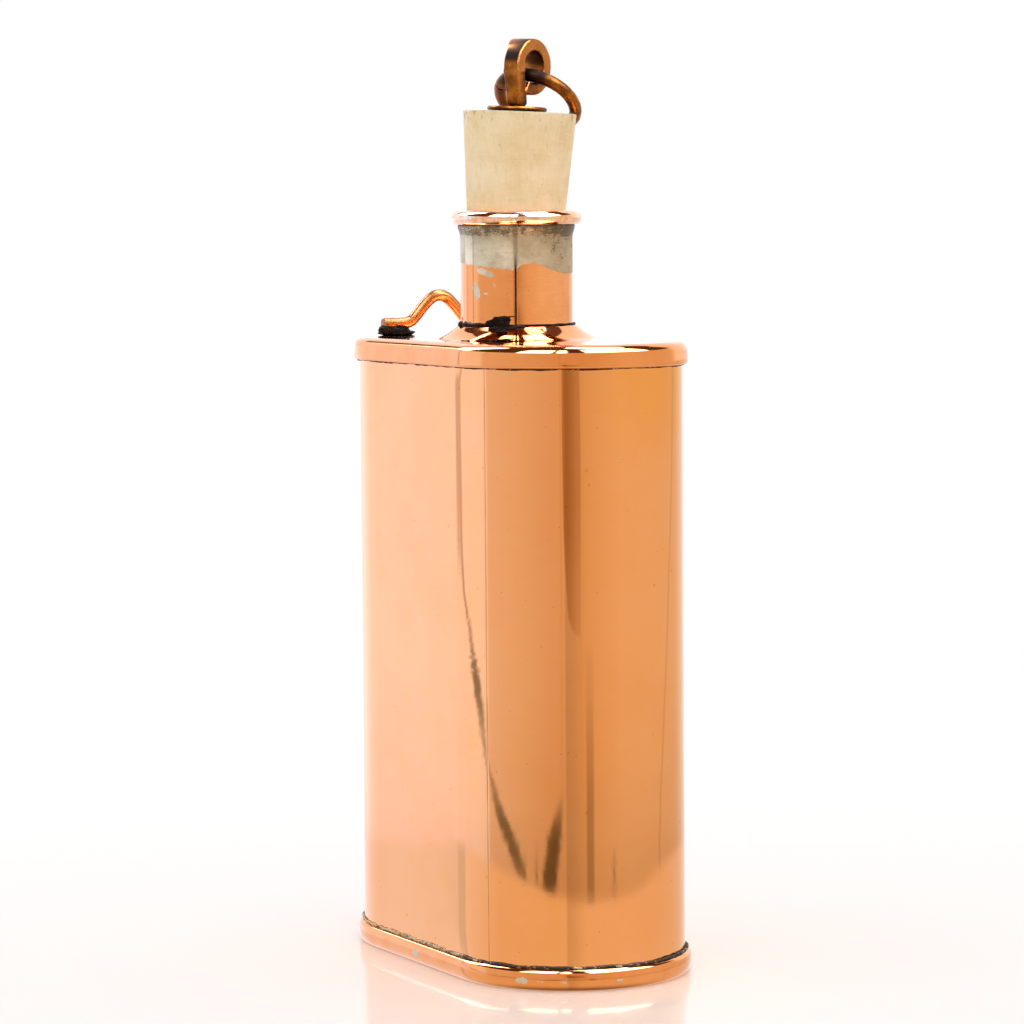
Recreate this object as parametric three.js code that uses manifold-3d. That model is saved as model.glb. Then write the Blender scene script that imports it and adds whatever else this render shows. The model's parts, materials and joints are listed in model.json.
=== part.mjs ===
// A flat-sided copper water bottle with a rubber stopper and a pull ring.
// Millimetres, +Z up. The origin is the centre of the base, on the resting plane.
// X runs along the long side of the body and Y across its flat sides.

import * as THREE from 'three';
import { mergeVertices } from 'three/addons/utils/BufferGeometryUtils.js';
import Module from 'manifold-3d';

const wasm = await Module();
wasm.setup();

// ---------------------------------------------------------------- driving dimensions

// Body: a tube with two flat sides and two half-round ends.
const BODY_LENGTH = 115;
const BODY_DEPTH = 61.6;
const SHEET = 1;
const CLEARANCE = 0.15;

// Base plate and its half-round rim.
const BASE_RIM_HEIGHT = 5.8;
const BASE_RIM_PROUD = 1.6;
const BASE_THICKNESS = 1.2;
const BASE_RIM_FLAT = 0.3;

// Shoulder plate, its turned-down rim and the collar pressed up around the neck.
const SHOULDER_TOP = 166.3;
const SHOULDER_RIM_BOTTOM = 160.2;
const SHOULDER_PROUD = 1.5;
const SHOULDER_EDGE_ROUND = 2.4;
const PLATE_THICKNESS = 1.1;
const COLLAR_TOP = 169.8;
const COLLAR_FOOT_RADIUS = 22.5;
const COLLAR_LIP_RADIUS = 15.9;
const COLLAR_BEND_REACH = 2.2;
const COLLAR_BEND_RISE = 0.4;

// Neck, rolled outward at the mouth over a wire.
const NECK_RADIUS = 15;
const NECK_FOOT = 163;
const MOUTH_TOP = 200.35;
const ROLL_RADIUS = 2;
const ROLL_CENTRE_RADIUS = 15.5;
const ROLL_SHEET = 0.85;
const RIM_WIRE_RADIUS = 1;
const ROLL_END_ANGLE = -95;
const ROLL_START_ANGLE = 200;

// Solder and sealant.
const SOLDER_HEIGHT = 0.9;
const SOLDER_PROUD = 0.9;
const SOLDER_GAP = 0.1;
const NECK_SEAM_ANGLE = -29;
const NECK_SEAM_HALF_ANGLE = 5;
const NECK_SEAM_THICKNESS = 0.4;
const NECK_SEAM_TOP = 186.3;
const BODY_SEAM_ANGLE = -71;
const BODY_SEAM_HALF_ANGLE = 4;
const BODY_SEAM_THICKNESS = 0.5;
const BODY_SEAM_BOTTOM = 4;
const SEALANT_TOP = 170.7;
const SEALANT_RADIUS = 16.2;
const LUMP_ANGLES = [-62, -33];
const LUMP_TOP = 172.7;
const LUMP_RADIUS = 16.7;

// Wire staple on the shoulder.
const LOOP_X = -45;
const LOOP_Y = -0.5;
const LOOP_WIRE_RADIUS = 1.6;
const LOOP_FOOT_HEIGHT = 3;
const LOOP_PEAK = 10.6;
const LOOP_HALF_SPAN = 17.4;
const LOOP_BENDS = [[12.5, 3], [10, 3.2], [8, 4.2], [4.9, 7.6], [2.3, 9.9]];
const PAD_HALF_WIDTH = 2.6;
const PAD_HALF_LENGTH = 4;
const PAD_CENTRE = 14.2;
const PAD_EDGE = { height: 0.4, width: 0.6, segments: 2 };
const PAD_GAP = 0.05;

// Stopper: the group's origin is on the stopper's axis, level with the mouth.
const PLUG_TILT = 2.6;
const PLUG_TILT_HEADING = 62.06;
const PLUG_PIVOT_HEIGHT = 200.4;
const PLUG_TOP = 26;
const PLUG_BOTTOM = -12.4;
const PLUG_TOP_RADIUS = 15.15;
const PLUG_TAPER = 0.074;
const PLUG_TOP_CHAMFER = 0.4;
const PLUG_BOTTOM_CHAMFER = 0.8;
const BOLT_OFFSET = 0.75;

// Screwed eye, its washers and its nut.
const STEM_RADIUS = 2;
const STEM_HOLE_RADIUS = 2.3;
const STEM_END = -20;
const WASHER_THICKNESS = 1.1;
const TOP_WASHER_GAP = 0.35;
const FASTENER_GAP = 0.1;
const TOP_WASHER_RADIUS = 8;
const BOTTOM_WASHER_RADIUS = 7;
const NUT_ACROSS_FLATS = 7;
const NUT_HEIGHT = 3.2;
const EYE_CENTRE_HEIGHT = 38.2;
const EYE_OFFSET = 3.9;
const EYE_OUTER_RADIUS = 7.5;
const EYE_HOLE_RADIUS = 4.35;
const EYE_THICKNESS = 5;
const EYE_HEADING = 25.2;
const EYE_EDGE_ROUND = 0.45;
const EYE_JOIN_ANGLE = 249;
const SHANK_HALF_WIDTH = 2.15;
const SHANK_BOTTOM = 27.6;

// Pull ring, hanging in the eye.
const RING_RADIUS = 10.7;
const RING_WIRE_RADIUS = 1.7;
const RING_GAP = 0.9;
const RING_GAP_ANGLE = -55;
const RING_DROOP = 39.4;
const RING_YAW = 7.6;
const RING_SEAT = new THREE.Vector3(-0.75, -0.6, -2.05);

// ---------------------------------------------------------------- materials

function metal(color, roughness) {
  return new THREE.MeshStandardMaterial({ color, roughness, metalness: 1 });
}

const copper = metal(0xe6965a, 0.2);
const agedCopper = metal(0x9a5b2c, 0.35);
const steelWire = metal(0x8a8680, 0.4);
const solder = metal(0x5d574c, 0.6);
const sealant = new THREE.MeshStandardMaterial({ color: 0x1b1512, roughness: 0.45 });
const rubber = new THREE.MeshStandardMaterial({ color: 0xe8d3a8, roughness: 0.75 });

// ---------------------------------------------------------------- geometry helpers

const radians = THREE.MathUtils.degToRad;
const bodyRadius = BODY_DEPTH / 2;
const flatHalfLength = (BODY_LENGTH - BODY_DEPTH) / 2;
const upAxis = new THREE.Vector3(0, 0, 1);

// Turns a closed geometry into a manifold solid.
function toSolid(geometry) {
  const bare = geometry.clone();
  bare.deleteAttribute('normal');
  bare.deleteAttribute('uv');
  const merged = mergeVertices(bare, 1e-4);
  const vertProperties = Float32Array.from(merged.attributes.position.array);
  const triVerts = Uint32Array.from(merged.index.array);
  return new wasm.Manifold(new wasm.Mesh({ numProp: 3, vertProperties, triVerts }));
}

// Turns a manifold solid back into a geometry.
function toGeometry(body) {
  const mesh = body.getMesh();
  const geometry = new THREE.BufferGeometry();
  geometry.setAttribute('position', new THREE.BufferAttribute(mesh.vertProperties, 3));
  geometry.setIndex(new THREE.BufferAttribute(mesh.triVerts, 1));
  geometry.computeVertexNormals();
  return geometry;
}

// The body's outline, moved outward by an offset.
function traceBody(path, offset) {
  const r = bodyRadius + offset;
  path.moveTo(-flatHalfLength, -r);
  path.lineTo(flatHalfLength, -r);
  path.absarc(flatHalfLength, 0, r, -Math.PI / 2, Math.PI / 2, false);
  path.lineTo(-flatHalfLength, r);
  path.absarc(-flatHalfLength, 0, r, Math.PI / 2, 1.5 * Math.PI, false);
  return path;
}

function bodyShape(offset) {
  return traceBody(new THREE.Shape(), offset);
}

// A straight prism of a shape between two heights.
function prism(shape, bottom, top, curveSegments = 16) {
  const geometry = new THREE.ExtrudeGeometry(shape, {
    depth: top - bottom,
    bevelEnabled: false,
    curveSegments,
  });
  return geometry.translate(0, 0, bottom);
}

// A prism with rounded upper and lower edges. The shape is its outline at the rounded edges' ends.
function roundedPrism(shape, bottom, top, edge, curveSegments = 16) {
  const geometry = new THREE.ExtrudeGeometry(shape, {
    depth: top - bottom - 2 * edge.height,
    bevelThickness: edge.height,
    bevelSize: edge.width,
    bevelSegments: edge.segments,
    curveSegments,
  });
  return geometry.translate(0, 0, bottom + edge.height);
}

// A band that follows the body's outline.
function bodyBand(outerOffset, innerOffset, bottom, top) {
  const shape = bodyShape(outerOffset);
  shape.holes.push(traceBody(new THREE.Path(), innerOffset));
  return prism(shape, bottom, top);
}

// A solid of revolution about Z from [radius, height] pairs. The profile closes on itself.
function turned(profile, segments = 40) {
  const points = profile.map(([radius, height]) => new THREE.Vector2(radius, height));
  points.push(points[0].clone());
  return new THREE.LatheGeometry(points, segments).rotateX(Math.PI / 2);
}

// A flat ring about Z.
function flatRing(outerRadius, innerRadius, bottom, top, segments = 24) {
  const profile = [[innerRadius, bottom], [outerRadius, bottom], [outerRadius, top], [innerRadius, top]];
  return turned(profile, segments);
}

// A sector of a ring about Z, between two angles in degrees.
function ringSector(outerRadius, innerRadius, angles, bottom, top) {
  const [from, to] = angles.map(radians);
  const shape = new THREE.Shape();
  shape.absarc(0, 0, outerRadius, from, to, false);
  shape.absarc(0, 0, innerRadius, to, from, true);
  return prism(shape, bottom, top, 8);
}

// Round wire along a curve.
function wire(curve, radius, steps) {
  const section = new THREE.Shape().absarc(0, 0, radius, 0, 2 * Math.PI, false);
  return new THREE.ExtrudeGeometry(section, { extrudePath: curve, steps, curveSegments: 6 });
}

function piece(name, geometry, material) {
  const mesh = new THREE.Mesh(geometry, material);
  mesh.name = name;
  return mesh;
}

// ---------------------------------------------------------------- body

// The wrapped sheet stands on the base plate and ends just under the shoulder plate.
function bodyTube() {
  const bottom = BASE_THICKNESS + CLEARANCE;
  const top = SHOULDER_TOP - PLATE_THICKNESS - CLEARANCE;
  return bodyBand(0, -SHEET, bottom, top);
}

// Solder that closes the sheet's seam, inside the round end.
function bodySeamSolder() {
  const inside = bodyRadius - SHEET - CLEARANCE;
  const angles = [BODY_SEAM_ANGLE - BODY_SEAM_HALF_ANGLE, BODY_SEAM_ANGLE + BODY_SEAM_HALF_ANGLE];
  const top = SHOULDER_RIM_BOTTOM;
  const strip = ringSector(inside, inside - BODY_SEAM_THICKNESS, angles, BODY_SEAM_BOTTOM, top);
  return strip.translate(flatHalfLength, 0, 0);
}

// A flat plate with a half-round rim that stands around the foot of the tube.
function basePlate() {
  const edge = {
    height: BASE_RIM_HEIGHT / 2 - BASE_RIM_FLAT,
    width: BASE_RIM_PROUD - BASE_RIM_FLAT,
    segments: 3,
  };
  const rim = toSolid(roundedPrism(bodyShape(BASE_RIM_PROUD - edge.width), 0, BASE_RIM_HEIGHT, edge));
  const seat = toSolid(prism(bodyShape(CLEARANCE), BASE_THICKNESS, BASE_RIM_HEIGHT + 1));
  return toGeometry(rim.subtract(seat));
}

// A plate with a turned-down rim, a rounded edge and a concave collar around the neck.
function shoulderPlate() {
  const edge = { height: SHOULDER_EDGE_ROUND, width: SHOULDER_EDGE_ROUND, segments: 3 };
  const outline = bodyShape(SHOULDER_PROUD - edge.width);
  const underside = SHOULDER_RIM_BOTTOM - 2 * SHOULDER_EDGE_ROUND;
  const block = toSolid(roundedPrism(outline, underside, SHOULDER_TOP, edge));
  const trim = toSolid(prism(bodyShape(2 * SHOULDER_PROUD), underside - 1, SHOULDER_RIM_BOTTOM));
  const room = toSolid(prism(bodyShape(CLEARANCE), underside - 1, SHOULDER_TOP - PLATE_THICKNESS));
  const neckHole = toSolid(turned([
    [0, underside],
    [NECK_RADIUS + CLEARANCE, underside],
    [NECK_RADIUS + CLEARANCE, MOUTH_TOP],
    [0, MOUTH_TOP],
  ]));
  const plate = block.subtract(trim).subtract(room);
  return toGeometry(plate.add(toSolid(collar())).subtract(neckHole));
}

function collar() {
  const flare = new THREE.QuadraticBezierCurve(
    new THREE.Vector2(COLLAR_FOOT_RADIUS, SHOULDER_TOP),
    new THREE.Vector2(COLLAR_LIP_RADIUS + COLLAR_BEND_REACH, SHOULDER_TOP + COLLAR_BEND_RISE),
    new THREE.Vector2(COLLAR_LIP_RADIUS, COLLAR_TOP),
  );
  const bore = NECK_RADIUS - SHEET;
  const foot = SHOULDER_TOP - PLATE_THICKNESS;
  const outer = flare.getPoints(6).map((point) => [point.x, point.y]);
  return turned([[bore, foot], [COLLAR_FOOT_RADIUS, foot], ...outer, [bore, COLLAR_TOP]]);
}

function shoulderSolder() {
  const top = SHOULDER_RIM_BOTTOM - SOLDER_GAP;
  return bodyBand(SOLDER_PROUD, SOLDER_GAP, top - SOLDER_HEIGHT, top);
}

function baseSolder() {
  const bottom = BASE_RIM_HEIGHT + SOLDER_GAP;
  return bodyBand(SOLDER_PROUD, SOLDER_GAP, bottom, bottom + SOLDER_HEIGHT);
}

// ---------------------------------------------------------------- neck

// Points on a circle in the neck's profile, from one angle to another in degrees.
function rollArc(radius, from, to, count) {
  const height = MOUTH_TOP - ROLL_RADIUS;
  const points = [];
  for (let i = 0; i <= count; i += 1) {
    const angle = radians(THREE.MathUtils.lerp(from, to, i / count));
    points.push([ROLL_CENTRE_RADIUS + radius * Math.cos(angle), height + radius * Math.sin(angle)]);
  }
  return points;
}

// The neck's sheet runs up, over the wire and back under it. The roll stays open underneath.
function neckTube() {
  const inner = NECK_RADIUS - SHEET;
  const rollStart = MOUTH_TOP - 2 * ROLL_RADIUS;
  return turned([
    [inner, NECK_FOOT],
    [NECK_RADIUS, NECK_FOOT],
    [NECK_RADIUS, rollStart],
    ...rollArc(ROLL_RADIUS - ROLL_SHEET, ROLL_START_ANGLE, ROLL_END_ANGLE, 8),
    ...rollArc(ROLL_RADIUS, ROLL_END_ANGLE, 180, 11),
    [inner, rollStart],
  ]);
}

function rimWire() {
  const ring = new THREE.TorusGeometry(ROLL_CENTRE_RADIUS, RIM_WIRE_RADIUS, 8, 40);
  return ring.translate(0, 0, MOUTH_TOP - ROLL_RADIUS);
}

// Solder that closes the neck's seam, on the inside, below the stopper.
function neckSeamSolder() {
  const inside = NECK_RADIUS - SHEET - CLEARANCE;
  const angles = [NECK_SEAM_ANGLE - NECK_SEAM_HALF_ANGLE, NECK_SEAM_ANGLE + NECK_SEAM_HALF_ANGLE];
  return ringSector(inside, inside - NECK_SEAM_THICKNESS, angles, NECK_FOOT + 1, NECK_SEAM_TOP);
}

// Black compound in the corner between neck and collar, with one lump against the neck.
function neckSealant() {
  const bottom = COLLAR_TOP + SOLDER_GAP;
  const inside = NECK_RADIUS + SOLDER_GAP;
  const ring = toSolid(flatRing(SEALANT_RADIUS, inside, bottom, SEALANT_TOP, 40));
  const lump = toSolid(ringSector(LUMP_RADIUS, inside, LUMP_ANGLES, bottom, LUMP_TOP));
  return toGeometry(ring.add(lump));
}

// ---------------------------------------------------------------- staple

// The staple's feet lie flat and its middle rises in a rounded hump.
function loopCurve() {
  const half = [[LOOP_HALF_SPAN, LOOP_FOOT_HEIGHT], ...LOOP_BENDS];
  const height = (z) => SHOULDER_TOP + z;
  const left = half.map(([y, z]) => new THREE.Vector3(0, -y, height(z)));
  const right = half.map(([y, z]) => new THREE.Vector3(0, y, height(z))).reverse();
  const peak = new THREE.Vector3(0, 0, height(LOOP_PEAK));
  return new THREE.CatmullRomCurve3([...left, peak, ...right]);
}

// A low rounded pad between one foot and the shoulder plate.
function loopPad(side) {
  const pad = new THREE.Shape();
  pad.absellipse(0, 0, PAD_HALF_WIDTH, PAD_HALF_LENGTH, 0, 2 * Math.PI, false, 0);
  const bottom = SHOULDER_TOP + PAD_GAP;
  const top = SHOULDER_TOP + LOOP_FOOT_HEIGHT - LOOP_WIRE_RADIUS - CLEARANCE;
  return roundedPrism(pad, bottom, top, PAD_EDGE, 12).translate(0, side * PAD_CENTRE, 0);
}

// ---------------------------------------------------------------- stopper

// Where the stem crosses the stopper: a little off its axis, against the tilt.
function boltPosition() {
  const heading = radians(PLUG_TILT_HEADING + 180);
  return new THREE.Vector3(BOLT_OFFSET * Math.cos(heading), BOLT_OFFSET * Math.sin(heading), 0);
}

function stopperPlug() {
  const bottomRadius = PLUG_TOP_RADIUS - PLUG_TAPER * (PLUG_TOP - PLUG_BOTTOM);
  const plug = toSolid(turned([
    [0, PLUG_BOTTOM],
    [bottomRadius - PLUG_BOTTOM_CHAMFER, PLUG_BOTTOM],
    [bottomRadius, PLUG_BOTTOM + PLUG_BOTTOM_CHAMFER],
    [PLUG_TOP_RADIUS, PLUG_TOP - PLUG_TOP_CHAMFER],
    [PLUG_TOP_RADIUS - PLUG_TOP_CHAMFER, PLUG_TOP],
    [0, PLUG_TOP],
  ]));
  const hole = turned([
    [0, PLUG_BOTTOM - 1],
    [STEM_HOLE_RADIUS, PLUG_BOTTOM - 1],
    [STEM_HOLE_RADIUS, PLUG_TOP + 1],
    [0, PLUG_TOP + 1],
  ], 24);
  hole.translate(...boltPosition().toArray());
  return toGeometry(plug.subtract(toSolid(hole)));
}

function topWasher() {
  const bottom = PLUG_TOP + TOP_WASHER_GAP;
  return flatRing(TOP_WASHER_RADIUS, STEM_HOLE_RADIUS, bottom, bottom + WASHER_THICKNESS);
}

function bottomWasher() {
  const top = PLUG_BOTTOM - FASTENER_GAP;
  return flatRing(BOTTOM_WASHER_RADIUS, STEM_HOLE_RADIUS, top - WASHER_THICKNESS, top);
}

function stemNut() {
  const corner = NUT_ACROSS_FLATS / Math.sqrt(3);
  const corners = [0, 60, 120, 180, 240, 300].map((degrees) => new THREE.Vector2(
    corner * Math.cos(radians(degrees)),
    corner * Math.sin(radians(degrees)),
  ));
  const hexagon = new THREE.Shape(corners);
  hexagon.holes.push(new THREE.Path().absarc(0, 0, STEM_RADIUS + FASTENER_GAP, 0, 2 * Math.PI, true));
  const top = PLUG_BOTTOM - WASHER_THICKNESS - 2 * FASTENER_GAP;
  return prism(hexagon, top - NUT_HEIGHT, top);
}

// The eye's outline in its own plane: x runs away from the shank, y runs up from the shank's foot.
function eyeShape() {
  const height = EYE_CENTRE_HEIGHT - SHANK_BOTTOM;
  const joinAngle = radians(EYE_JOIN_ANGLE);
  const shape = new THREE.Shape();
  shape.moveTo(-SHANK_HALF_WIDTH, 0);
  shape.lineTo(SHANK_HALF_WIDTH, 0);
  shape.absarc(EYE_OFFSET, height, EYE_OUTER_RADIUS, joinAngle - 2 * Math.PI, Math.PI, false);
  shape.closePath();
  const hole = new THREE.Path();
  hole.absarc(EYE_OFFSET, height, EYE_HOLE_RADIUS, 0, 2 * Math.PI, true);
  shape.holes.push(hole);
  return shape;
}

// The eye and square shank are one bar. Below them the bar is turned to a round stem.
function eyeBolt() {
  const round = EYE_EDGE_ROUND;
  const bar = new THREE.ExtrudeGeometry(eyeShape(), {
    depth: EYE_THICKNESS - 2 * round,
    bevelThickness: round,
    bevelSize: round,
    bevelOffset: -round,
    bevelSegments: 2,
    curveSegments: 14,
  });
  bar.translate(0, 0, round - EYE_THICKNESS / 2);
  bar.applyMatrix4(new THREE.Matrix4().makeBasis(
    new THREE.Vector3(0, 1, 0),
    new THREE.Vector3(0, 0, 1),
    new THREE.Vector3(1, 0, 0),
  ));
  bar.translate(0, 0, SHANK_BOTTOM);
  const stem = turned([[0, STEM_END], [STEM_RADIUS, STEM_END], [STEM_RADIUS, SHANK_BOTTOM + 1],
    [0, SHANK_BOTTOM + 1]], 24);
  return toGeometry(toSolid(bar).add(toSolid(stem)));
}

// The ring touches its seat at angle 0. Its wire starts and ends at the butt joint.
class RingCurve extends THREE.Curve {
  getPoint(t, target = new THREE.Vector3()) {
    const gapAngle = RING_GAP / RING_RADIUS;
    const start = radians(RING_GAP_ANGLE) + gapAngle / 2;
    const angle = start + t * (2 * Math.PI - gapAngle);
    return target.set(RING_RADIUS * Math.sin(angle), RING_RADIUS * (1 - Math.cos(angle)), 0);
  }
}

function pullRing() {
  return wire(new RingCurve(), RING_WIRE_RADIUS, 36);
}

// ---------------------------------------------------------------- assembly

function bottleGroup() {
  const group = new THREE.Group();
  group.add(
    piece('body_tube', bodyTube(), copper),
    piece('body_seam_solder', bodySeamSolder(), solder),
    piece('base_plate', basePlate(), copper),
    piece('shoulder_plate', shoulderPlate(), copper),
    piece('shoulder_solder', shoulderSolder(), solder),
    piece('base_solder', baseSolder(), solder),
    piece('neck_tube', neckTube(), copper),
    piece('rim_wire', rimWire(), steelWire),
    piece('neck_seam_solder', neckSeamSolder(), solder),
    piece('neck_sealant', neckSealant(), sealant),
  );
  return group;
}

function stapleGroup() {
  const group = new THREE.Group();
  group.position.set(LOOP_X, LOOP_Y, 0);
  group.add(
    piece('chain_loop', wire(loopCurve(), LOOP_WIRE_RADIUS, 40), agedCopper),
    piece('loop_solder_left', loopPad(-1), sealant),
    piece('loop_solder_right', loopPad(1), sealant),
  );
  return group;
}

// The eye's own frame: X along the hole's axis, Y away from the shank, Z up the stem.
function eyeGroup() {
  const group = new THREE.Group();
  group.position.copy(boltPosition());
  group.rotation.z = radians(EYE_HEADING);
  group.add(
    piece('eye_bolt', eyeBolt(), agedCopper),
    piece('stem_nut', stemNut(), agedCopper),
    piece('top_washer', topWasher(), agedCopper),
    piece('bottom_washer', bottomWasher(), agedCopper),
  );
  const ring = piece('pull_ring', pullRing(), agedCopper);
  ring.position.set(0, EYE_OFFSET, EYE_CENTRE_HEIGHT).add(RING_SEAT);
  ring.rotation.set(radians(-RING_DROOP), 0, radians(RING_YAW), 'ZXY');
  group.add(ring);
  return group;
}

function stopperGroup() {
  const group = new THREE.Group();
  const heading = radians(PLUG_TILT_HEADING);
  const tilt = radians(PLUG_TILT);
  const axis = new THREE.Vector3(
    Math.sin(tilt) * Math.cos(heading),
    Math.sin(tilt) * Math.sin(heading),
    Math.cos(tilt),
  );
  group.position.set(0, 0, PLUG_PIVOT_HEIGHT);
  group.quaternion.setFromUnitVectors(upAxis, axis);
  group.add(piece('stopper_plug', stopperPlug(), rubber), eyeGroup());
  return group;
}

const bottle = new THREE.Group();
bottle.add(bottleGroup(), stapleGroup(), stopperGroup());

export default bottle;
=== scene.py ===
"""A copper water bottle with a rubber stopper, a screwed eye and a pull ring."""

import json
import math

import bmesh
import bpy
import numpy as np
from mathutils import Matrix, Quaternion, Vector, noise


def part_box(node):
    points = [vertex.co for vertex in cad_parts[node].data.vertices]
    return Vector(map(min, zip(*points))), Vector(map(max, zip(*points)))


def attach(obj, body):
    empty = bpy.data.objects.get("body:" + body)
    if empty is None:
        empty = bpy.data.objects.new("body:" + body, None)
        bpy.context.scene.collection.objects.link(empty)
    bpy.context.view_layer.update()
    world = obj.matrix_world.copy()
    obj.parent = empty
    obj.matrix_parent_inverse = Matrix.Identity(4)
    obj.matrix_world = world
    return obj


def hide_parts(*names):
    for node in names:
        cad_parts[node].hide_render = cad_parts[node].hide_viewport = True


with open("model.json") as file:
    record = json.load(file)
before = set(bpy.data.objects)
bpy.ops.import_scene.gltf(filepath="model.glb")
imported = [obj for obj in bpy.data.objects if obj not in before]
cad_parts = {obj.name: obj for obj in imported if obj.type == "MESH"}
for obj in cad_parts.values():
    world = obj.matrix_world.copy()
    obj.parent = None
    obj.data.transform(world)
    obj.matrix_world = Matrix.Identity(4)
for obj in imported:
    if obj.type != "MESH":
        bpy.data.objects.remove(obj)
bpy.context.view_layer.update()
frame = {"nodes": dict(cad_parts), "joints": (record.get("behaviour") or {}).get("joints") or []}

MM = 0.001

# Marker values of vertex attributes: far from any seam, not marked, and on the rolled mouth.
FAR_OFF, NOT_MARKED, ROLL_MARK = 99.0, -9.0, 999.0

# ---------------------------------------------------- sizes read from the frame, in millimetres


def box_mm(node):
    low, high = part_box(node)
    return np.array(low) / MM, np.array(high) / MM


def joint(name):
    return next(item for item in frame["joints"] if item["name"] == name)


body_low, body_high = box_mm("body_tube")
BODY_RADIUS = (body_high[1] - body_low[1]) / 2
FLAT_HALF = (body_high[0] - body_low[0]) / 2 - BODY_RADIUS
BODY_BOTTOM, BODY_TOP = body_low[2], body_high[2]

base_high = box_mm("base_plate")[1]
BASE_PROUD = base_high[1] - BODY_RADIUS
BASE_HEIGHT = base_high[2]

shoulder_low, shoulder_high = box_mm("shoulder_plate")
SHOULDER_PROUD = shoulder_high[1] - BODY_RADIUS
SHOULDER_BOTTOM = shoulder_low[2]
COLLAR_TOP = shoulder_high[2]

neck_low, neck_high = box_mm("neck_tube")
NECK_FOOT, MOUTH_TOP = neck_low[2], neck_high[2]
ROLL_OUTER = (neck_high[0] - neck_low[0]) / 2

loop_low, loop_high = box_mm("chain_loop")

PLUG_AXIS = Vector(joint("stopper_pull")["axis"]).normalized()
BOLT_POINT = Vector(joint("eye_swivel")["pos_m"]) / MM
SWING_AXIS = Vector(joint("ring_swing")["axis"]).normalized()
SWING_POINT = Vector(joint("ring_swing")["pos_m"]) / MM

# ---------------------------------------------------- sizes the frame leaves open, in millimetres

SHEET = 1.0
GAP = 0.15
PLATE_TOP = 166.3
PLATE_THICKNESS = 1.1
SHOULDER_ROUND = (3.0, 2.5)
SKIRT_LEAN = 0.2
COLLAR_FOOT_RADIUS = 22.5
COLLAR_LIP_RADIUS = 15.9
NECK_RADIUS = 15.0
NECK_FLARE = 0.7
ROLL_RADIUS = 2.0
ROLL_SHEET = 0.85
NECK_SEAM_ANGLE = -29
NECK_SEAM_WIDTH, NECK_SEAM_DEPTH = 0.18, 0.05
LAP_RAISED = 0.07
COLLAR_CURVE = 1.55
NECK_WALL_STEPS, ROLL_HIDDEN_STEPS = 100, 14
LAP_START, LAP_END = -94, -78
TIN_PATCHES = ((-62, 184.0, 2.9, 0.95, -16), (-74, 179.2, 2.5, 1.15, -66), (-61, 178.5, 1.0, 0.28, -10),
               (-51, 180.7, 0.5, 0.28, -40))
BODY_SEAM_ANGLE = -71
KNEE_BEFORE_ARC = 3.2
FLAT_LEAN, KNEE_LEAN = 0.6, 1.7
BODY_SEAM_WIDTH, BODY_SEAM_DEPTH = 0.14, 0.03
RIM_TOP_ROUND, RIM_FOOT_HEIGHT = 1.4, 2.6
BASE_FLOOR_HEIGHT = 1.2
MARK_SQUASH = 1.7
BODY_PITS = ((-21.6, None, 9.5), (0, -11, 64), (0, -18.5, 34))
RIM_SPOTS = ((0.4, None, 1.6), (-9.4, None, 1.0), (0, -51, 1.6), (0, -42, 1.0), (0, -31, 1.1), (0, -5, 1.1),
             (0, 27, 0.9), (0, 41, 0.9))

PLUG_PIVOT_HEIGHT = 200.4
PLUG_TOP, PLUG_BOTTOM = 26.0, -12.4
PLUG_TOP_RADIUS = 15.15
PLUG_TAPER = 0.074
STEM_RADIUS = 2.0
STEM_HOLE_RADIUS = 2.3
STEM_END = -20.0
WASHER_THICKNESS = 1.1

EYE_OFFSET = 3.9
EYE_CENTRE_HEIGHT = 38.2
EYE_OUTER_RADIUS, EYE_HOLE_RADIUS = 7.5, 4.35
EYE_HEADING = 25.2
EYE_CURL_END = -117
EYE_CORNER = 0.55
SHANK_HALF_ACROSS, SHANK_HALF_OUT = 1.95, 2.1
SHANK_SPREAD, SHANK_RIDGE = 0.55, 0.16
SHANK_BOTTOM = 27.6
LOOP_FAR_SIDE = 2.2

RING_RADIUS = 10.7
RING_WIRE = 1.7
RING_DROOP = 39.4
RING_GAP_ANGLE = -55
RING_GAP = 1.3

LOOP_WIRE = 1.6
LOOP_FOOT_HEIGHT = 3.0
LOOP_PEAK = 10.6

# ---------------------------------------------------- mesh helpers


def smooth_step(t):
    t = np.clip(t, 0.0, 1.0)
    return t * t * (3 - 2 * t)


def ripple(points, size, seed=0.0):
    """Smooth noise between about -1 and 1 at points in millimetres, with features of the given size."""
    shift = Vector((seed * 13.7, seed * 7.3, seed * 3.1))
    flat = np.asarray(points, float).reshape(-1, 3) / size
    values = [noise.noise(Vector(p) + shift) for p in flat]
    return np.array(values).reshape(np.asarray(points).shape[:-1])


def link_mesh(name, vertices, faces, body, sharp_angle=35):
    """Makes a piece from vertices in millimetres, with outward faces and smooth shading."""
    mesh = bpy.data.meshes.new(name)
    mesh.from_pydata([tuple(v) for v in np.asarray(vertices) * MM], [], faces)
    bm = bmesh.new()
    bm.from_mesh(mesh)
    bmesh.ops.recalc_face_normals(bm, faces=bm.faces)
    for edge in bm.edges:
        edge.smooth = edge.calc_face_angle(0.0) < math.radians(sharp_angle)
    for face in bm.faces:
        face.smooth = True
    bm.to_mesh(mesh)
    bm.free()
    piece = bpy.data.objects.new(name, mesh)
    bpy.context.scene.collection.objects.link(piece)
    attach(piece, body)
    return piece


def grid_faces(rows, columns, close_rows, close_columns):
    faces = []
    for i in range(rows if close_rows else rows - 1):
        for j in range(columns if close_columns else columns - 1):
            a, b = i * columns, ((i + 1) % rows) * columns
            k = (j + 1) % columns
            faces.append((a + j, a + k, b + k, b + j))
    return faces


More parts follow.
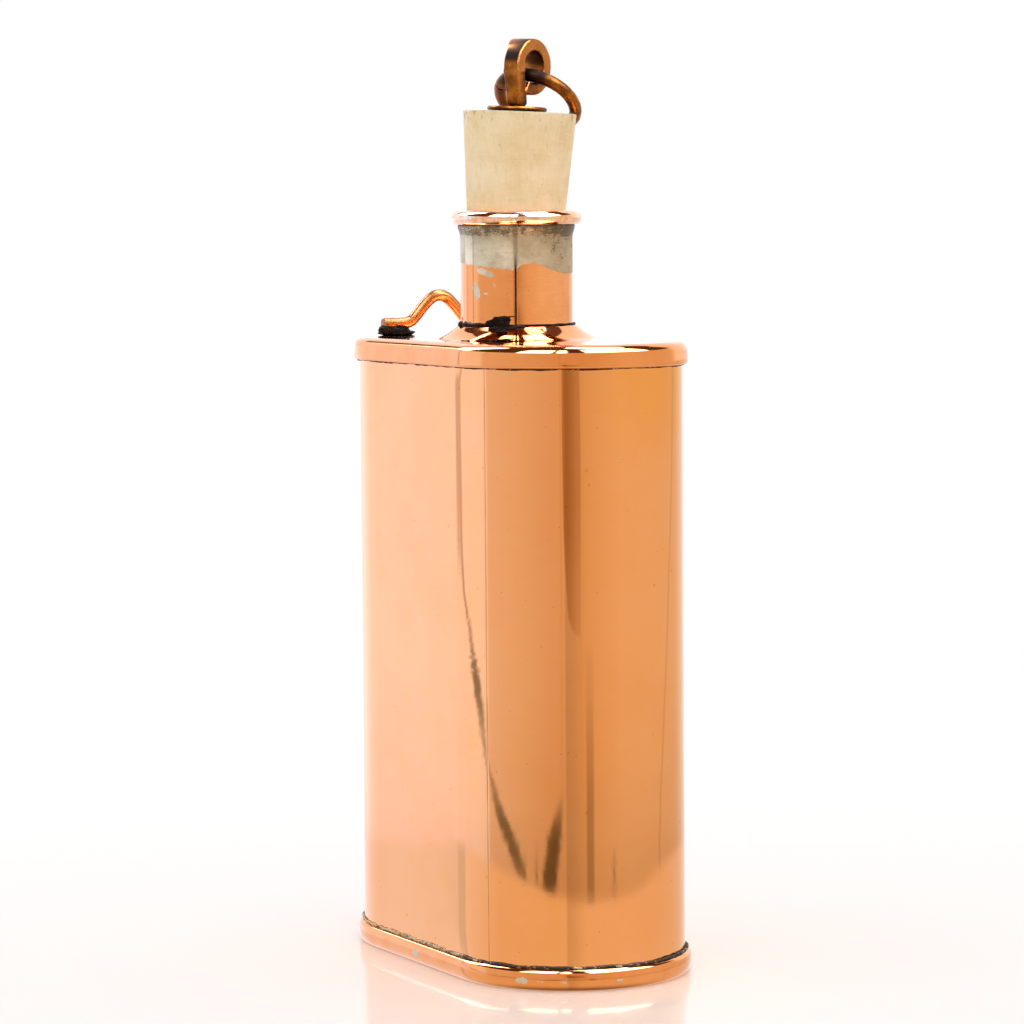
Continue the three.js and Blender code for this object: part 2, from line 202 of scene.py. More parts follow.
def closed_grid(name, grid, body, sharp_angle=35):
    """A surface that closes on itself in both directions, from points [row][column]."""
    rows, columns = grid.shape[:2]
    faces = grid_faces(rows, columns, True, True)
    return link_mesh(name, grid.reshape(-1, 3), faces, body, sharp_angle)


def capped_grid(name, grid, body, sharp_angle=35):
    """A tube of rings [row][column], closed by a point at the middle of its first and last rings."""
    rows, columns = grid.shape[:2]
    faces = grid_faces(rows, columns, False, True)
    ends = [grid[0].mean(0), grid[-1].mean(0)]
    first, last = rows * columns, rows * columns + 1
    for j in range(columns):
        k = (j + 1) % columns
        faces.append((first, k, j))
        faces.append((last, (rows - 1) * columns + j, (rows - 1) * columns + k))
    vertices = np.concatenate([grid.reshape(-1, 3), ends])
    return link_mesh(name, vertices, faces, body, sharp_angle)


def in_place_of(piece, node):
    """Lets a piece stand for a node of the frame, whose own mesh is hidden."""
    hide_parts(node)
    return piece


def store(piece, name, values):
    """Keeps one number per vertex, which a material can read by name."""
    attribute = piece.data.attributes.new(name, "FLOAT", "POINT")
    attribute.data.foreach_set("value", np.asarray(values, np.float32).ravel())


def points_of(piece):
    flat = np.zeros(len(piece.data.vertices) * 3)
    piece.data.vertices.foreach_get("co", flat)
    return flat.reshape(-1, 3) / MM


def seam_angles(count, seam):
    """Angles round a circle in degrees, with extra ones close to a seam."""
    even = np.arange(count) * 360.0 / count - 180.0
    near = seam + np.array([-0.9, -0.45, -0.15, 0.15, 0.45, 0.9])
    apart = np.abs((even - seam + 180) % 360 - 180)
    return np.sort(np.concatenate([even[apart > 1.2], near]))


def body_outline():
    """Points and outward normals round the body, with extra ones close to its seam."""
    points, normals = [], []
    for side, seam in ((1, BODY_SEAM_ANGLE), (-1, None)):
        start = -90 if side > 0 else 90
        steps = list(np.linspace(start, start + 180, 97))
        if seam is not None:
            near = seam + np.array([-0.8, -0.4, -0.2, 0.2, 0.4, 0.8])
            steps = sorted([a for a in steps if abs(a - seam) > 1.1] + list(near))
        for angle in np.radians(steps):
            normal = np.array([math.cos(angle), math.sin(angle)])
            points.append(np.array([side * FLAT_HALF, 0]) + BODY_RADIUS * normal)
            normals.append(normal)
        straight = np.linspace(0, 1, 90)[1:-1]
        for t in straight:
            points.append(np.array([side * FLAT_HALF * (1 - 2 * t), side * BODY_RADIUS]))
            normals.append(np.array([0, side]))
    return np.array(points), np.array(normals)


OUTLINE, OUTLINE_NORMALS = body_outline()


def outline_ring(offset, height):
    """One ring round the body. The offset and height may vary round it."""
    offset = np.broadcast_to(offset, len(OUTLINE))[:, None]
    height = np.broadcast_to(height, len(OUTLINE))[:, None]
    return np.concatenate([OUTLINE + OUTLINE_NORMALS * offset, height], axis=1)


def outline_angle():
    return np.arctan2(OUTLINE[:, 1], OUTLINE[:, 0])


def circle_ring(radius, height, angles=None):
    """One ring round the Z axis, by default in step with the body's outline. Angles are in radians."""
    angles = outline_angle() if angles is None else angles
    heights = np.full(len(angles), height)
    return np.stack([radius * np.cos(angles), radius * np.sin(angles), heights], axis=1)


def arc(centre, radii, start, end, count):
    """Points [x, y] on an ellipse's arc, with angles in degrees."""
    angles = np.radians(np.linspace(start, end, count))
    return [(centre[0] + radii[0] * math.cos(a), centre[1] + radii[1] * math.sin(a)) for a in angles]


def turn(profile, angles):
    """Rings of a solid of revolution from (radius, height) pairs, with angles in degrees."""
    turned = np.radians(angles)
    return np.array([circle_ring(radius, height, turned) for radius, height in profile])


def push(grid, amount):
    """Moves the points of a ring grid straight out from the Z axis."""
    outward = grid[..., :2] / np.linalg.norm(grid[..., :2], axis=-1, keepdims=True)
    moved = grid.copy()
    moved[..., :2] += outward * amount[..., None]
    return moved


# ---------------------------------------------------- body


def groove(offsets, angle_step, width, depth):
    """A narrow round-bottomed groove at zero offset."""
    return -depth * np.exp(-((offsets * angle_step / width) ** 2))


def on_outline(x, angle, height):
    """A point on the body: on its near flat side at x, or on its round end where an angle is given."""
    if angle is None:
        return np.array([x, -BODY_RADIUS, height])
    a = math.radians(angle)
    return np.array([FLAT_HALF + BODY_RADIUS * math.cos(a), BODY_RADIUS * math.sin(a), height])


def marks_at(points, marks):
    """How far inside the nearest of a few round marks each point lies, in millimetres."""
    inside = []
    for centre, radius in marks:
        inside.append(radius - np.linalg.norm((points - centre) * (1, 1, MARK_SQUASH), axis=1))
    return np.max(inside, axis=0)


def lean_profile():
    """How far the sheet bulges at each distance from the middle of a flat side to well round its end."""
    knee = FLAT_HALF - KNEE_BEFORE_ARC
    steps = np.linspace(0, FLAT_HALF + 20, 1200)
    lean = FLAT_LEAN * np.clip(steps / knee, 0, 1) + KNEE_LEAN * smooth_step((steps - knee) / 0.8)
    lean *= 1 - smooth_step((steps - FLAT_HALF) / 9)
    drop = np.concatenate([[0], np.cumsum(np.tan(np.radians(lean[1:])) * np.diff(steps))])
    return steps, drop[-1] - drop


def outline_travel():
    """Distance of each outline point from the middle of its flat side, along the sheet."""
    round_part = np.abs(OUTLINE[:, 0]) > FLAT_HALF
    turned = np.arcsin(np.clip((np.abs(OUTLINE[:, 0]) - FLAT_HALF) / BODY_RADIUS, 0, 1))
    return np.where(round_part, FLAT_HALF + turned * BODY_RADIUS, np.abs(OUTLINE[:, 0]))


def make_body():
    """The wrapped sheet, slightly uneven from hand work, with a seam on one round end."""
    outer_heights = np.linspace(BODY_BOTTOM, BODY_TOP, 170)
    inner_heights = np.linspace(BODY_TOP, BODY_BOTTOM, 24)
    outer = np.array([outline_ring(0.0, z) for z in outer_heights])
    inner = np.array([outline_ring(-SHEET, z) for z in inner_heights])
    arc_angle = np.degrees(np.arctan2(OUTLINE[:, 1], OUTLINE[:, 0] - FLAT_HALF))
    from_seam = np.where(OUTLINE[:, 0] > FLAT_HALF - 1, arc_angle - BODY_SEAM_ANGLE, FAR_OFF)
    step = math.radians(1) * BODY_RADIUS
    dent = groove(from_seam, step, BODY_SEAM_WIDTH, BODY_SEAM_DEPTH)
    uneven = 0.05 * ripple(outer, 60.0, 1) + 0.008 * ripple(outer, 13.0, 2)
    ends = smooth_step((outer_heights - BODY_BOTTOM) / 12) * smooth_step((BODY_TOP - outer_heights) / 10)
    bulge = np.interp(outline_travel(), *lean_profile())
    shift = (uneven + bulge) * ends[:, None] + dent[None, :]
    outer[..., :2] += OUTLINE_NORMALS[None] * shift[..., None]
    piece = closed_grid("copper_body", np.concatenate([outer, inner]), "bottle")
    inside = np.full(len(inner_heights) * len(OUTLINE), FAR_OFF)
    store(piece, "seam", np.concatenate([np.tile(from_seam * step, len(outer_heights)), inside]))
    store(piece, "pit", marks_at(points_of(piece), [(on_outline(*where), 0.3) for where in BODY_PITS]))
    return in_place_of(piece, "body_tube")


def rim_profile():
    """The base rim from its top edge to its foot: a nearly upright face with rounded edges."""
    top, foot = RIM_TOP_ROUND, RIM_FOOT_HEIGHT
    profile = arc((BASE_PROUD - top, BASE_HEIGHT - top), (top, top), 90, 6, 10)
    profile += arc((BASE_PROUD - top, foot), (top, foot), 0, -90, 18)
    return [(0.2, BASE_HEIGHT)] + profile


def make_base():
    """The bottom plate and its rim."""
    profile = rim_profile()
    rings = [outline_ring(x, z) for x, z in profile]
    outline = outline_ring(0.0, 0.0)
    shrink = (0.97, 0.9, 0.6, 0.3, 0.02)
    rings += [outline * (s, s, 1) for s in shrink]
    inside = outline_ring(GAP, BASE_FLOOR_HEIGHT)
    rings += [inside * (s, s, 1) for s in reversed(shrink[1:])]
    rings += [inside, outline_ring(GAP, BASE_HEIGHT - 0.15)]
    rings = np.array(rings)
    rim = slice(1, len(profile) - 1)
    wobble = 0.05 * ripple(rings[rim], 9.0, 4) + 0.02 * ripple(rings[rim], 3.5, 5)
    taper = np.sin(np.linspace(0.2, math.pi - 0.2, len(profile) - 2))
    rings[rim, :, :2] += OUTLINE_NORMALS[None] * (wobble * taper[:, None])[..., None]
    piece = closed_grid("copper_base", rings, "bottle", 50)
    spots = [(on_outline(x, angle, BASE_HEIGHT / 2), size + 1.0) for x, angle, size in RIM_SPOTS]
    store(piece, "spot", marks_at(points_of(piece), spots))
    return in_place_of(piece, "base_plate")


def shoulder_rings():
    """Rings from the rim's lower edge, over the plate, up the collar and back underneath."""
    low, (across, down) = SHOULDER_BOTTOM, SHOULDER_ROUND
    rings = [outline_ring(GAP, low + 0.35), outline_ring(GAP + 0.3, low)]
    lower = arc((SHOULDER_PROUD - 0.45, low + 0.4), (0.4, 0.4), -90, 0, 5)
    upper = arc((SHOULDER_PROUD - SKIRT_LEAN - across, PLATE_TOP - down), (across, down), 4, 90, 16)
    rings += [outline_ring(x, z) for x, z in lower]
    skirt = zip(np.linspace(0.02, SKIRT_LEAN, 5), np.linspace(low + 0.8, PLATE_TOP - down, 5))
    rings += [outline_ring(SHOULDER_PROUD - lean, z) for lean, z in skirt]
    rings += [outline_ring(x, z) for x, z in upper]
    edge = outline_ring(SHOULDER_PROUD - SKIRT_LEAN - across, PLATE_TOP)
    foot = circle_ring(COLLAR_FOOT_RADIUS, PLATE_TOP)
    rings += [edge + (foot - edge) * t for t in np.linspace(0, 1, 24)[1:]]
    rise, reach = COLLAR_TOP - PLATE_TOP - 0.1, COLLAR_FOOT_RADIUS - COLLAR_LIP_RADIUS
    for t in np.linspace(0, 1, 22)[1:]:
        rings.append(circle_ring(COLLAR_FOOT_RADIUS - reach * t, PLATE_TOP + rise * t ** COLLAR_CURVE))
    bore = NECK_RADIUS + GAP
    under = PLATE_TOP - PLATE_THICKNESS
    rings += [circle_ring(COLLAR_LIP_RADIUS - 0.25, COLLAR_TOP), circle_ring(bore + 0.1, COLLAR_TOP)]
    rings += [circle_ring(bore, COLLAR_TOP - 0.2), circle_ring(bore, under)]
    inside = outline_ring(GAP, under)
    hub = circle_ring(bore, under)
    rings += [hub + (inside - hub) * t for t in (0.25, 0.5, 0.75, 1.0)]
    return np.array(rings)


def make_shoulder():
    """The pressed top plate. Its flat dips a little and its collar is slightly lumpy."""
    grid = shoulder_rings()
    radius = np.linalg.norm(grid[..., :2], axis=-1)
    top = (grid[..., 2] > PLATE_TOP - 0.9) * smooth_step((grid[..., 2] - PLATE_TOP + 0.8) / 0.8)
    away = smooth_step((radius - COLLAR_LIP_RADIUS) / 2.5)
    grid[..., 2] += top * away * (0.14 * ripple(grid, 20.0, 6) + 0.05 * ripple(grid, 7.0, 9) - 0.1)
    skirt = smooth_step((PLATE_TOP - 0.4 - grid[..., 2]) / 1.5) * (radius > BODY_RADIUS)
    amount = skirt * (0.05 * ripple(grid, 12.0, 7) + 0.02 * ripple(grid, 4.0, 8))
    piece = closed_grid("copper_shoulder", push(grid, amount), "bottle", 50)
    store(piece, "spot", np.full(len(piece.data.vertices), NOT_MARKED))
    return in_place_of(piece, "shoulder_plate")


def solder_line(name, node, low_edge, lift, width, proud, seed):
    """An uneven bead of solder round the body. Its height and reach change along it."""
    here = outline_ring(0.0, 0.0)
    height = width * (1 + 0.5 * ripple(here, 7.0, seed) + 0.35 * ripple(here, 2.2, seed + 1))
    reach = proud * (1 + 0.4 * ripple(here, 8.0, seed + 2) + 0.3 * ripple(here, 1.8, seed + 3))
    rings = []
    for a in np.radians(np.linspace(0, 360, 17)[:-1]):
        out = 0.06 + reach * (0.5 + 0.5 * math.cos(a))
        up = low_edge + lift * height * (0.5 + 0.5 * math.sin(a))
        rings.append(outline_ring(out, up))
    piece = closed_grid(name, np.array(rings), "bottle")
    return in_place_of(piece, node)


# ---------------------------------------------------- neck


def neck_profile():
    """Up the outside, into the roll, round it, over the top and down the bore."""
    height = MOUTH_TOP - ROLL_RADIUS
    centre = (ROLL_OUTER - ROLL_RADIUS, height)
    start = MOUTH_TOP - 2 * ROLL_RADIUS
    inner = NECK_RADIUS - SHEET
    outside = []
    for z in np.linspace(NECK_FOOT, start, NECK_WALL_STEPS):
        flare = NECK_FLARE * smooth_step(np.array((z - start + 3.6) / 3.6)) ** 1.5
        outside.append((NECK_RADIUS + float(flare), z))
    inside_roll = ROLL_RADIUS - ROLL_SHEET
    hidden = arc(centre, (inside_roll, inside_roll), 200, -62, ROLL_HIDDEN_STEPS)
    end = arc(centre, (ROLL_RADIUS - 0.4, ROLL_RADIUS - 0.4), -62, -62, 1)
    roll = arc(centre, (ROLL_RADIUS, ROLL_RADIUS), -58, 180, 34)
    bore = [(inner + 0.06, start + 0.9), (inner, start)]
    bore += [(inner, z) for z in np.linspace(start, NECK_FOOT, 20)[1:]]
    return outside + hidden + end + roll + bore


def tin_cover(angles, heights):
    """How far inside the tinned part each point of the neck lies, in millimetres. Angles are in degrees."""
    known_angles = [-180, -118, -97, -72, -55, -40, -31, -22, -12, 2, 14, 32, 50, 180]
    edge = [186.0, 186.6, 186.4, 185.8, 185.3, 184.9, 184.7, 186.0, 186.5, 185.4, 184.2, 183.5, 183.6, 186.0]
    cover = heights - np.interp(angles, known_angles, edge)
    for angle, height, half_length, half_width, slope in TIN_PATCHES:
        across = (angles - angle) * math.radians(1) * NECK_RADIUS
        up = heights - height
        cosine, sine = math.cos(math.radians(slope)), math.sin(math.radians(slope))
        along, aside = across * cosine + up * sine, up * cosine - across * sine
        far = np.hypot(along / half_length, aside / half_width)
        cover = np.maximum(cover, (1 - far) * half_width)
    return cover


def neck_push(grid, angles, from_seam):
    """How far out each point of the neck is moved: the seam's groove, the lap strip and the hand work."""
    outside = (np.arange(len(grid)) < NECK_WALL_STEPS)[:, None]
    roll = np.arange(len(grid)) >= NECK_WALL_STEPS + ROLL_HIDDEN_STEPS
    roll = (roll & (grid[:, 0, 2] > MOUTH_TOP - 2 * ROLL_RADIUS - 0.2))[:, None]
    dent = groove(from_seam, 1.0, NECK_SEAM_WIDTH, NECK_SEAM_DEPTH)
    strip = LAP_RAISED * smooth_step((angles - LAP_START) / 1.5) * smooth_step((LAP_END - angles) / 1.5)
    amount = ((dent + strip)[None, :] + 0.02 * ripple(grid, 6.0, 11)) * outside
    return amount + (0.06 * ripple(grid, 6.0, 12) + 0.03 * ripple(grid, 2.2, 13)) * roll


def make_neck():
    """The neck tube, flared under a rolled mouth, with a lap strip and a dark seam."""
    angles = seam_angles(240, NECK_SEAM_ANGLE)
    grid = turn(neck_profile(), angles)
    from_seam = (angles - NECK_SEAM_ANGLE) * math.radians(1) * NECK_RADIUS
    grid = push(grid, neck_push(grid, angles, from_seam))
    piece = closed_grid("copper_neck", grid, "bottle", 50)
    points = points_of(piece)
    degrees = np.degrees(np.arctan2(points[:, 1], points[:, 0]))
    on_roll = np.repeat(np.arange(len(grid)) >= NECK_WALL_STEPS, len(angles))
    store(piece, "tin", np.where(on_roll, NOT_MARKED, tin_cover(degrees, points[:, 2])))
    store(piece, "seam", (degrees - NECK_SEAM_ANGLE) * math.radians(1) * NECK_RADIUS)
    store(piece, "lap", np.where(on_roll, ROLL_MARK, degrees))
    store(piece, "up", points[:, 2] - (MOUTH_TOP - 2 * ROLL_RADIUS))
    return in_place_of(piece, "neck_tube")


# ---------------------------------------------------- lumps of sealant and solder


def remesh(piece, voxel):
    """Fuses overlapping lumps of one piece into a single skin."""
    modifier = piece.modifiers.new("fuse", "REMESH")
    modifier.mode = "VOXEL"
    modifier.voxel_size = voxel * MM
    modifier.use_smooth_shade = True
    relax = piece.modifiers.new("relax", "SMOOTH")
    relax.iterations = 2
    relax.factor = 0.5


def blob(centre, radii, turned=None, seed=0, rough=0.12, count=(14, 22)):
    """Vertices and faces of an uneven egg shape, in millimetres."""
    rows, columns = count
    rings = []
    for i in range(1, rows):
        v = math.pi * i / rows
        for j in range(columns):
            u = 2 * math.pi * j / columns
            rings.append((math.sin(v) * math.cos(u), math.sin(v) * math.sin(u), math.cos(v)))
    vertices = np.array([(0, 0, 1.0)] + rings + [(0, 0, -1.0)])
    vertices = vertices * (1 + rough * ripple(vertices, 0.7, seed))[:, None] * np.array(radii)
    if turned is not None:
        vertices = vertices @ np.array(turned).T
    faces = [(0, 1 + j, 1 + (j + 1) % columns) for j in range(columns)]
    for i in range(rows - 2):
        for j in range(columns):
            a = 1 + i * columns
            b, k = a + columns, (j + 1) % columns
            faces.append((a + j, b + j, b + k, a + k))
    last = len(vertices) - 1
    a = last - columns
    faces += [(last, a + (j + 1) % columns, a + j) for j in range(columns)]
    return vertices + np.array(centre), faces


def lump_piece(name, blobs, body, voxel, extra=None):
    """Fuses several blobs, and an optional closed ring grid, into one piece."""
    vertices, faces = [], []
    for part, part_faces in blobs:
        base = sum(len(v) for v in vertices)
        vertices.append(part)
        faces += [tuple(i + base for i in face) for face in part_faces]
    if extra is not None:
        base = sum(len(v) for v in vertices)
        rows, columns = extra.shape[:2]
        vertices.append(extra.reshape(-1, 3))
        faces += [tuple(i + base for i in face) for face in grid_faces(rows, columns, True, True)]
    piece = link_mesh(name, np.concatenate(vertices), faces, body)
    remesh(piece, voxel)
    return piece


def on_neck(angle, radius, height):
    a = math.radians(angle)
    return (radius * math.cos(a), radius * math.sin(a), height)


def facing(angle):
    """A turn that carries +X to the outward direction at an angle round the neck."""
    return Matrix.Rotation(math.radians(angle), 3, "Z")


# Each lump of sealant: its angle round the neck, distance out and height up, three radii, and a seed.
SEALANT_LUMPS = ((-45, 0.3, 1.2, (0.55, 2.7, 1.5), 3), (-40, 0.3, 1.9, (0.5, 1.5, 1.0), 4),
                 (-53, 0.3, 0.9, (0.5, 2.0, 0.9), 5), (-49, 0.3, 2.0, (0.45, 1.0, 0.7), 12),
                 (-35, 0.15, 2.6, (0.22, 1.6, 0.2), 13), (-98, 0.8, 0.3, (0.8, 0.9, 0.9), 6),
                 (-88, 0.6, 0.4, (0.6, 1.4, 0.6), 14), (-72, 0.6, 0.35, (0.6, 1.6, 0.55), 15),
                 (-46, 1.3, -0.5, (1.2, 3.0, 0.55), 7), (-42, 2.1, -1.1, (1.5, 1.7, 0.4), 8),
                 (-33, 1.1, -0.4, (0.8, 1.6, 0.4), 9), (-26, 0.9, -0.1, (0.6, 1.7, 0.4), 16))


def sealant_bead():
    """Rings of the uneven bead in the corner between neck and collar, thicker on its left."""
    angles = np.arange(0, 360, 1.5)
    here = turn([(NECK_RADIUS, COLLAR_TOP)], angles)[0]
    off_left = np.abs((angles + 78 + 180) % 360 - 180)
    thick = 0.3 + 0.25 * (1 - smooth_step((off_left - 15) / 14)) + 0.12 * ripple(here, 2.5, 21)
    rings = []
    for a in np.radians(np.linspace(0, 360, 13)[:-1]):
        ring = turn([(NECK_RADIUS + 0.5, COLLAR_TOP + 0.25)], angles)[0]
        outward = ring[:, :2] / np.linalg.norm(ring[:, :2], axis=1, keepdims=True)
        ring[:, :2] += outward * (thick * math.cos(a))[:, None]
        ring[:, 2] += thick * math.sin(a)
        rings.append(ring)
    return np.array(rings)


def make_sealant():
    """Black compound in the corner round the neck, with a lump, a bead and drips down the collar."""
    blobs = [blob(on_neck(angle, NECK_RADIUS + out, COLLAR_TOP + up), radii, facing(angle), seed, 0.2)
             for angle, out, up, radii, seed in SEALANT_LUMPS]
    piece = lump_piece("black_sealant", blobs, "bottle", 0.13, sealant_bead())
    return in_place_of(piece, "neck_sealant")


# ---------------------------------------------------- staple


def smooth_path(points, count):
    """Evenly stepped Catmull-Rom points through control points."""
    points = [np.array(p, float) for p in points]
    ends = [2 * points[0] - points[1]] + points + [2 * points[-1] - points[-2]]
    dense = []
    for i in range(1, len(ends) - 2):
        p0, p1, p2, p3 = ends[i - 1:i + 3]
        for t in np.linspace(0, 1, 60, endpoint=False):
            dense.append(0.5 * (2 * p1 + (p2 - p0) * t + (2 * p0 - 5 * p1 + 4 * p2 - p3) * t ** 2
                                + (3 * p1 - p0 - 3 * p2 + p3) * t ** 3))
    dense = np.array(dense + [points[-1]])
    lengths = np.concatenate([[0], np.cumsum(np.linalg.norm(np.diff(dense, axis=0), axis=1))])
    even = np.linspace(0, lengths[-1], count)
    return np.stack([np.interp(even, lengths, dense[:, k]) for k in range(3)], axis=1)


def sweep(path, side, section):
    """Carries section(i), which gives (across, outward), along a flat path. side is its plane's normal."""
    path = np.asarray(path, float)
    tangents = np.gradient(path, axis=0)
    tangents /= np.linalg.norm(tangents, axis=1, keepdims=True)
    side = np.asarray(side, float) / np.linalg.norm(side)
    rings = []
    for i, (point, tangent) in enumerate(zip(path, tangents)):
        outward = np.cross(side, tangent)
        across, out = section(i)
        rings.append(point + across[:, None] * side + out[:, None] * outward)
    return np.array(rings)


def worked(grid, path, coarse, fine, where=1.0):
    """Swells and shrinks a swept bar unevenly about its path. Each ripple is (depth, size, seed)."""
    swell = sum(depth * ripple(grid, size, seed) for depth, size, seed in (coarse, fine))
    centre = path[:, None, :]
    return centre + (grid - centre) * (1 + swell * where)[..., None]


def wire_section(radius, sides=28):
    angles = np.arange(sides) * 2 * math.pi / sides
    return radius * np.cos(angles), radius * np.sin(angles)


def rounded_ends(grid, round_off):
    """Adds two smaller rings at each end of a tube, so that its cut ends have soft edges."""
    first, last = grid[0], grid[-1]
    out_first = first.mean(0) - grid[1].mean(0)
    out_last = last.mean(0) - grid[-2].mean(0)
    out_first /= np.linalg.norm(out_first)
    out_last /= np.linalg.norm(out_last)

    def cap(ring, direction):
        centre = ring.mean(0)
        radius = np.linalg.norm(ring - centre, axis=1).mean()
        steps = ((0.45, 0.75), (0.85, 0.35), (1.0, 0.0))
        shrunk = []
        for out, keep in steps:
            size = (radius - round_off * (1 - keep)) / radius
            shrunk.append(centre + (ring - centre) * size + direction * round_off * out)
        return shrunk + [centre + (ring - centre) * 0.5 + direction * round_off]

    return np.concatenate([cap(first, out_first)[::-1], grid, cap(last, out_last)])


def make_loop():
    """The bent wire staple, a little hammered and worn."""
    middle = (loop_low + loop_high) / 2
    half = (loop_high[1] - loop_low[1]) / 2 - 0.2
    side = [(half, LOOP_FOOT_HEIGHT), (12.5, LOOP_FOOT_HEIGHT), (10.0, LOOP_FOOT_HEIGHT + 0.2),
            (8.0, 4.2), (4.9, 7.6), (2.3, 9.9)]
    left = [(-y, z) for y, z in side]
    right = [(y, z) for y, z in reversed(side)]
    controls = [(middle[0], middle[1] + y, PLATE_TOP + z) for y, z in left + [(0, LOOP_PEAK)] + right]
    path = smooth_path(controls, 190)
    across, out = wire_section(LOOP_WIRE)
    grid = sweep(path, (1, 0, 0), lambda i: (across, out))
    grid = worked(grid, path, (0.035, 4.0, 31), (0.008, 1.2, 32))
    piece = capped_grid("wire_staple", rounded_ends(grid, 0.2), "bottle", 60)
    return in_place_of(piece, "chain_loop")


# Each lump of a pad: its place across the staple, inward along it and up, and its three radii.
PAD_LUMPS = ((0, 3.0, 0.4, (2.4, 3.6, 0.75)), (0, 0.4, 0.5, (3.0, 5.0, 0.85)),
             (0, 0.2, 1.3, (2.2, 4.7, 1.3)),
             (0, 1.6, 2.0, (1.9, 3.0, 1.0)), (0.5, -2.6, 1.6, (2.0, 1.9, 1.2)),
             (-0.7, 3.0, 1.1, (1.8, 2.2, 1.0)), (1.2, 0.4, 1.0, (1.6, 3.4, 0.9)))


def make_pad(name, node, seed):
    """A lump of black compound under one foot of the staple and half way up its sides."""
    low, high = box_mm(node)
    centre = (low + high) / 2
    top, inward = PLATE_TOP, -math.copysign(1, centre[1])
    blobs = [blob((centre[0] + x, centre[1] + inward * y, top + z), radii, None, seed + k, 0.16)
             for k, (x, y, z, radii) in enumerate(PAD_LUMPS)]
    piece = lump_piece(name, blobs, "bottle", 0.2)
    return in_place_of(piece, node)


# ---------------------------------------------------- stopper


def tilt_matrix():
    return Vector((0, 0, 1)).rotation_difference(PLUG_AXIS).to_matrix()


def from_plug(points):
    """Points in the stopper's own frame, along its tilted axis, to the frame of the bottle."""
    turned = np.asarray(points) @ np.array(tilt_matrix()).T
    return turned + np.array((0, 0, PLUG_PIVOT_HEIGHT))


def bolt_in_plug():
    local = tilt_matrix().transposed() @ (BOLT_POINT - Vector((0, 0, PLUG_PIVOT_HEIGHT)))
    return np.array((local.x, local.y, 0.0))


def from_eye(points):
    """Points in the eye's frame (X along its hole, Y away from the shank) to the frame of the bottle."""
    heading = np.array(Matrix.Rotation(math.radians(EYE_HEADING), 3, "Z"))
    return from_plug(np.asarray(points) @ heading.T + bolt_in_plug())


def make_plug():
    """Tapered rubber, its edges worn round, with a hole for the stem a little off its middle."""
    taper_end = PLUG_TOP_RADIUS - PLUG_TAPER * (PLUG_TOP - PLUG_BOTTOM)
    side = np.linspace(PLUG_BOTTOM + 1.0, PLUG_TOP - 0.7, 90)
    profile = arc((taper_end - 0.9, PLUG_BOTTOM + 0.9), (0.9, 0.9), -90, -5, 8)
    profile += [(PLUG_TOP_RADIUS - PLUG_TAPER * (PLUG_TOP - z), z) for z in side]
    profile += arc((PLUG_TOP_RADIUS - 0.5, PLUG_TOP - 0.5), (0.5, 0.5), 5, 90, 8)
    profile += [(r, PLUG_TOP) for r in (13.4, 11.5, 9.0, 6.5, 4.5)]
    angles = np.arange(0, 360, 2.0)
    outer = turn(profile, angles)
    outer = push(outer, 0.035 * ripple(outer, 5.0, 41) + 0.02 * ripple(outer, 1.4, 42))
    bolt = bolt_in_plug()
    top_hole = turn([(STEM_HOLE_RADIUS + 0.2, PLUG_TOP)], angles) + bolt
    bore = turn([(STEM_HOLE_RADIUS, z) for z in (PLUG_TOP - 0.3, 0.0, PLUG_BOTTOM)], angles) + bolt
    under = turn([(r, PLUG_BOTTOM) for r in (5.0, 9.0)], angles)
    grid = np.concatenate([outer, top_hole, bore, under])
    piece = closed_grid("rubber_stopper", from_plug(grid), "stopper", 60)
    return in_place_of(piece, "stopper_plug")


def make_washer(name, node, radius, bottom, seed):
    """A hand-cut washer: not quite round, slightly dished, with soft edges."""
    top = bottom + WASHER_THICKNESS
    profile = [(STEM_HOLE_RADIUS, bottom + 0.1), (STEM_HOLE_RADIUS + 0.1, bottom)]
    profile += [(r, bottom) for r in np.linspace(3.2, radius - 0.4, 6)]
    profile += arc((radius - 0.35, (bottom + top) / 2), (0.35, WASHER_THICKNESS / 2), -80, 80, 7)
    profile += [(r, top) for r in np.linspace(radius - 0.4, 3.2, 6)]
    profile += [(STEM_HOLE_RADIUS + 0.1, top), (STEM_HOLE_RADIUS, top - 0.1)]
    grid = turn(profile, np.arange(0, 360, 3.0))
    radial = np.linalg.norm(grid[..., :2], axis=-1)
    grid = push(grid, -0.12 * np.abs(ripple(grid, 4.0, seed)) * (radial / radius) ** 3)
    grid[..., 2] += 0.05 * ripple(grid, 3.5, seed + 1) * (radial / radius) ** 2
    piece = closed_grid(name, from_eye(grid), "stopper", 60)
    return in_place_of(piece, node)


# ---------------------------------------------------- eye bolt


def eye_path():
    """Up the stem and shank, tangent into the loop, over it and back down to the shank."""
    middle = (EYE_OUTER_RADIUS + EYE_HOLE_RADIUS) / 2
    centre = np.array((EYE_OFFSET, EYE_CENTRE_HEIGHT))
    foot = np.array((0.0, SHANK_BOTTOM + 0.6))
    gap = centre - foot
    distance = np.linalg.norm(gap)
    bearing = math.atan2(-gap[1], -gap[0])
    touch = bearing - math.acos(middle / distance)
    start = math.degrees(touch) % 360
    stem = [(0.0, z) for z in np.linspace(STEM_END, SHANK_BOTTOM, 40)]
    contact = centre + middle * np.array((math.cos(touch), math.sin(touch)))
    shank = [tuple(foot + (contact - foot) * t) for t in np.linspace(0, 1, 26)[:-1]]
    loop = arc(centre, (middle, middle), start, EYE_CURL_END, 120)
    flat = stem + shank + loop
    return np.array([(0.0, y, z) for y, z in flat]), len(stem), len(stem) + len(shank)


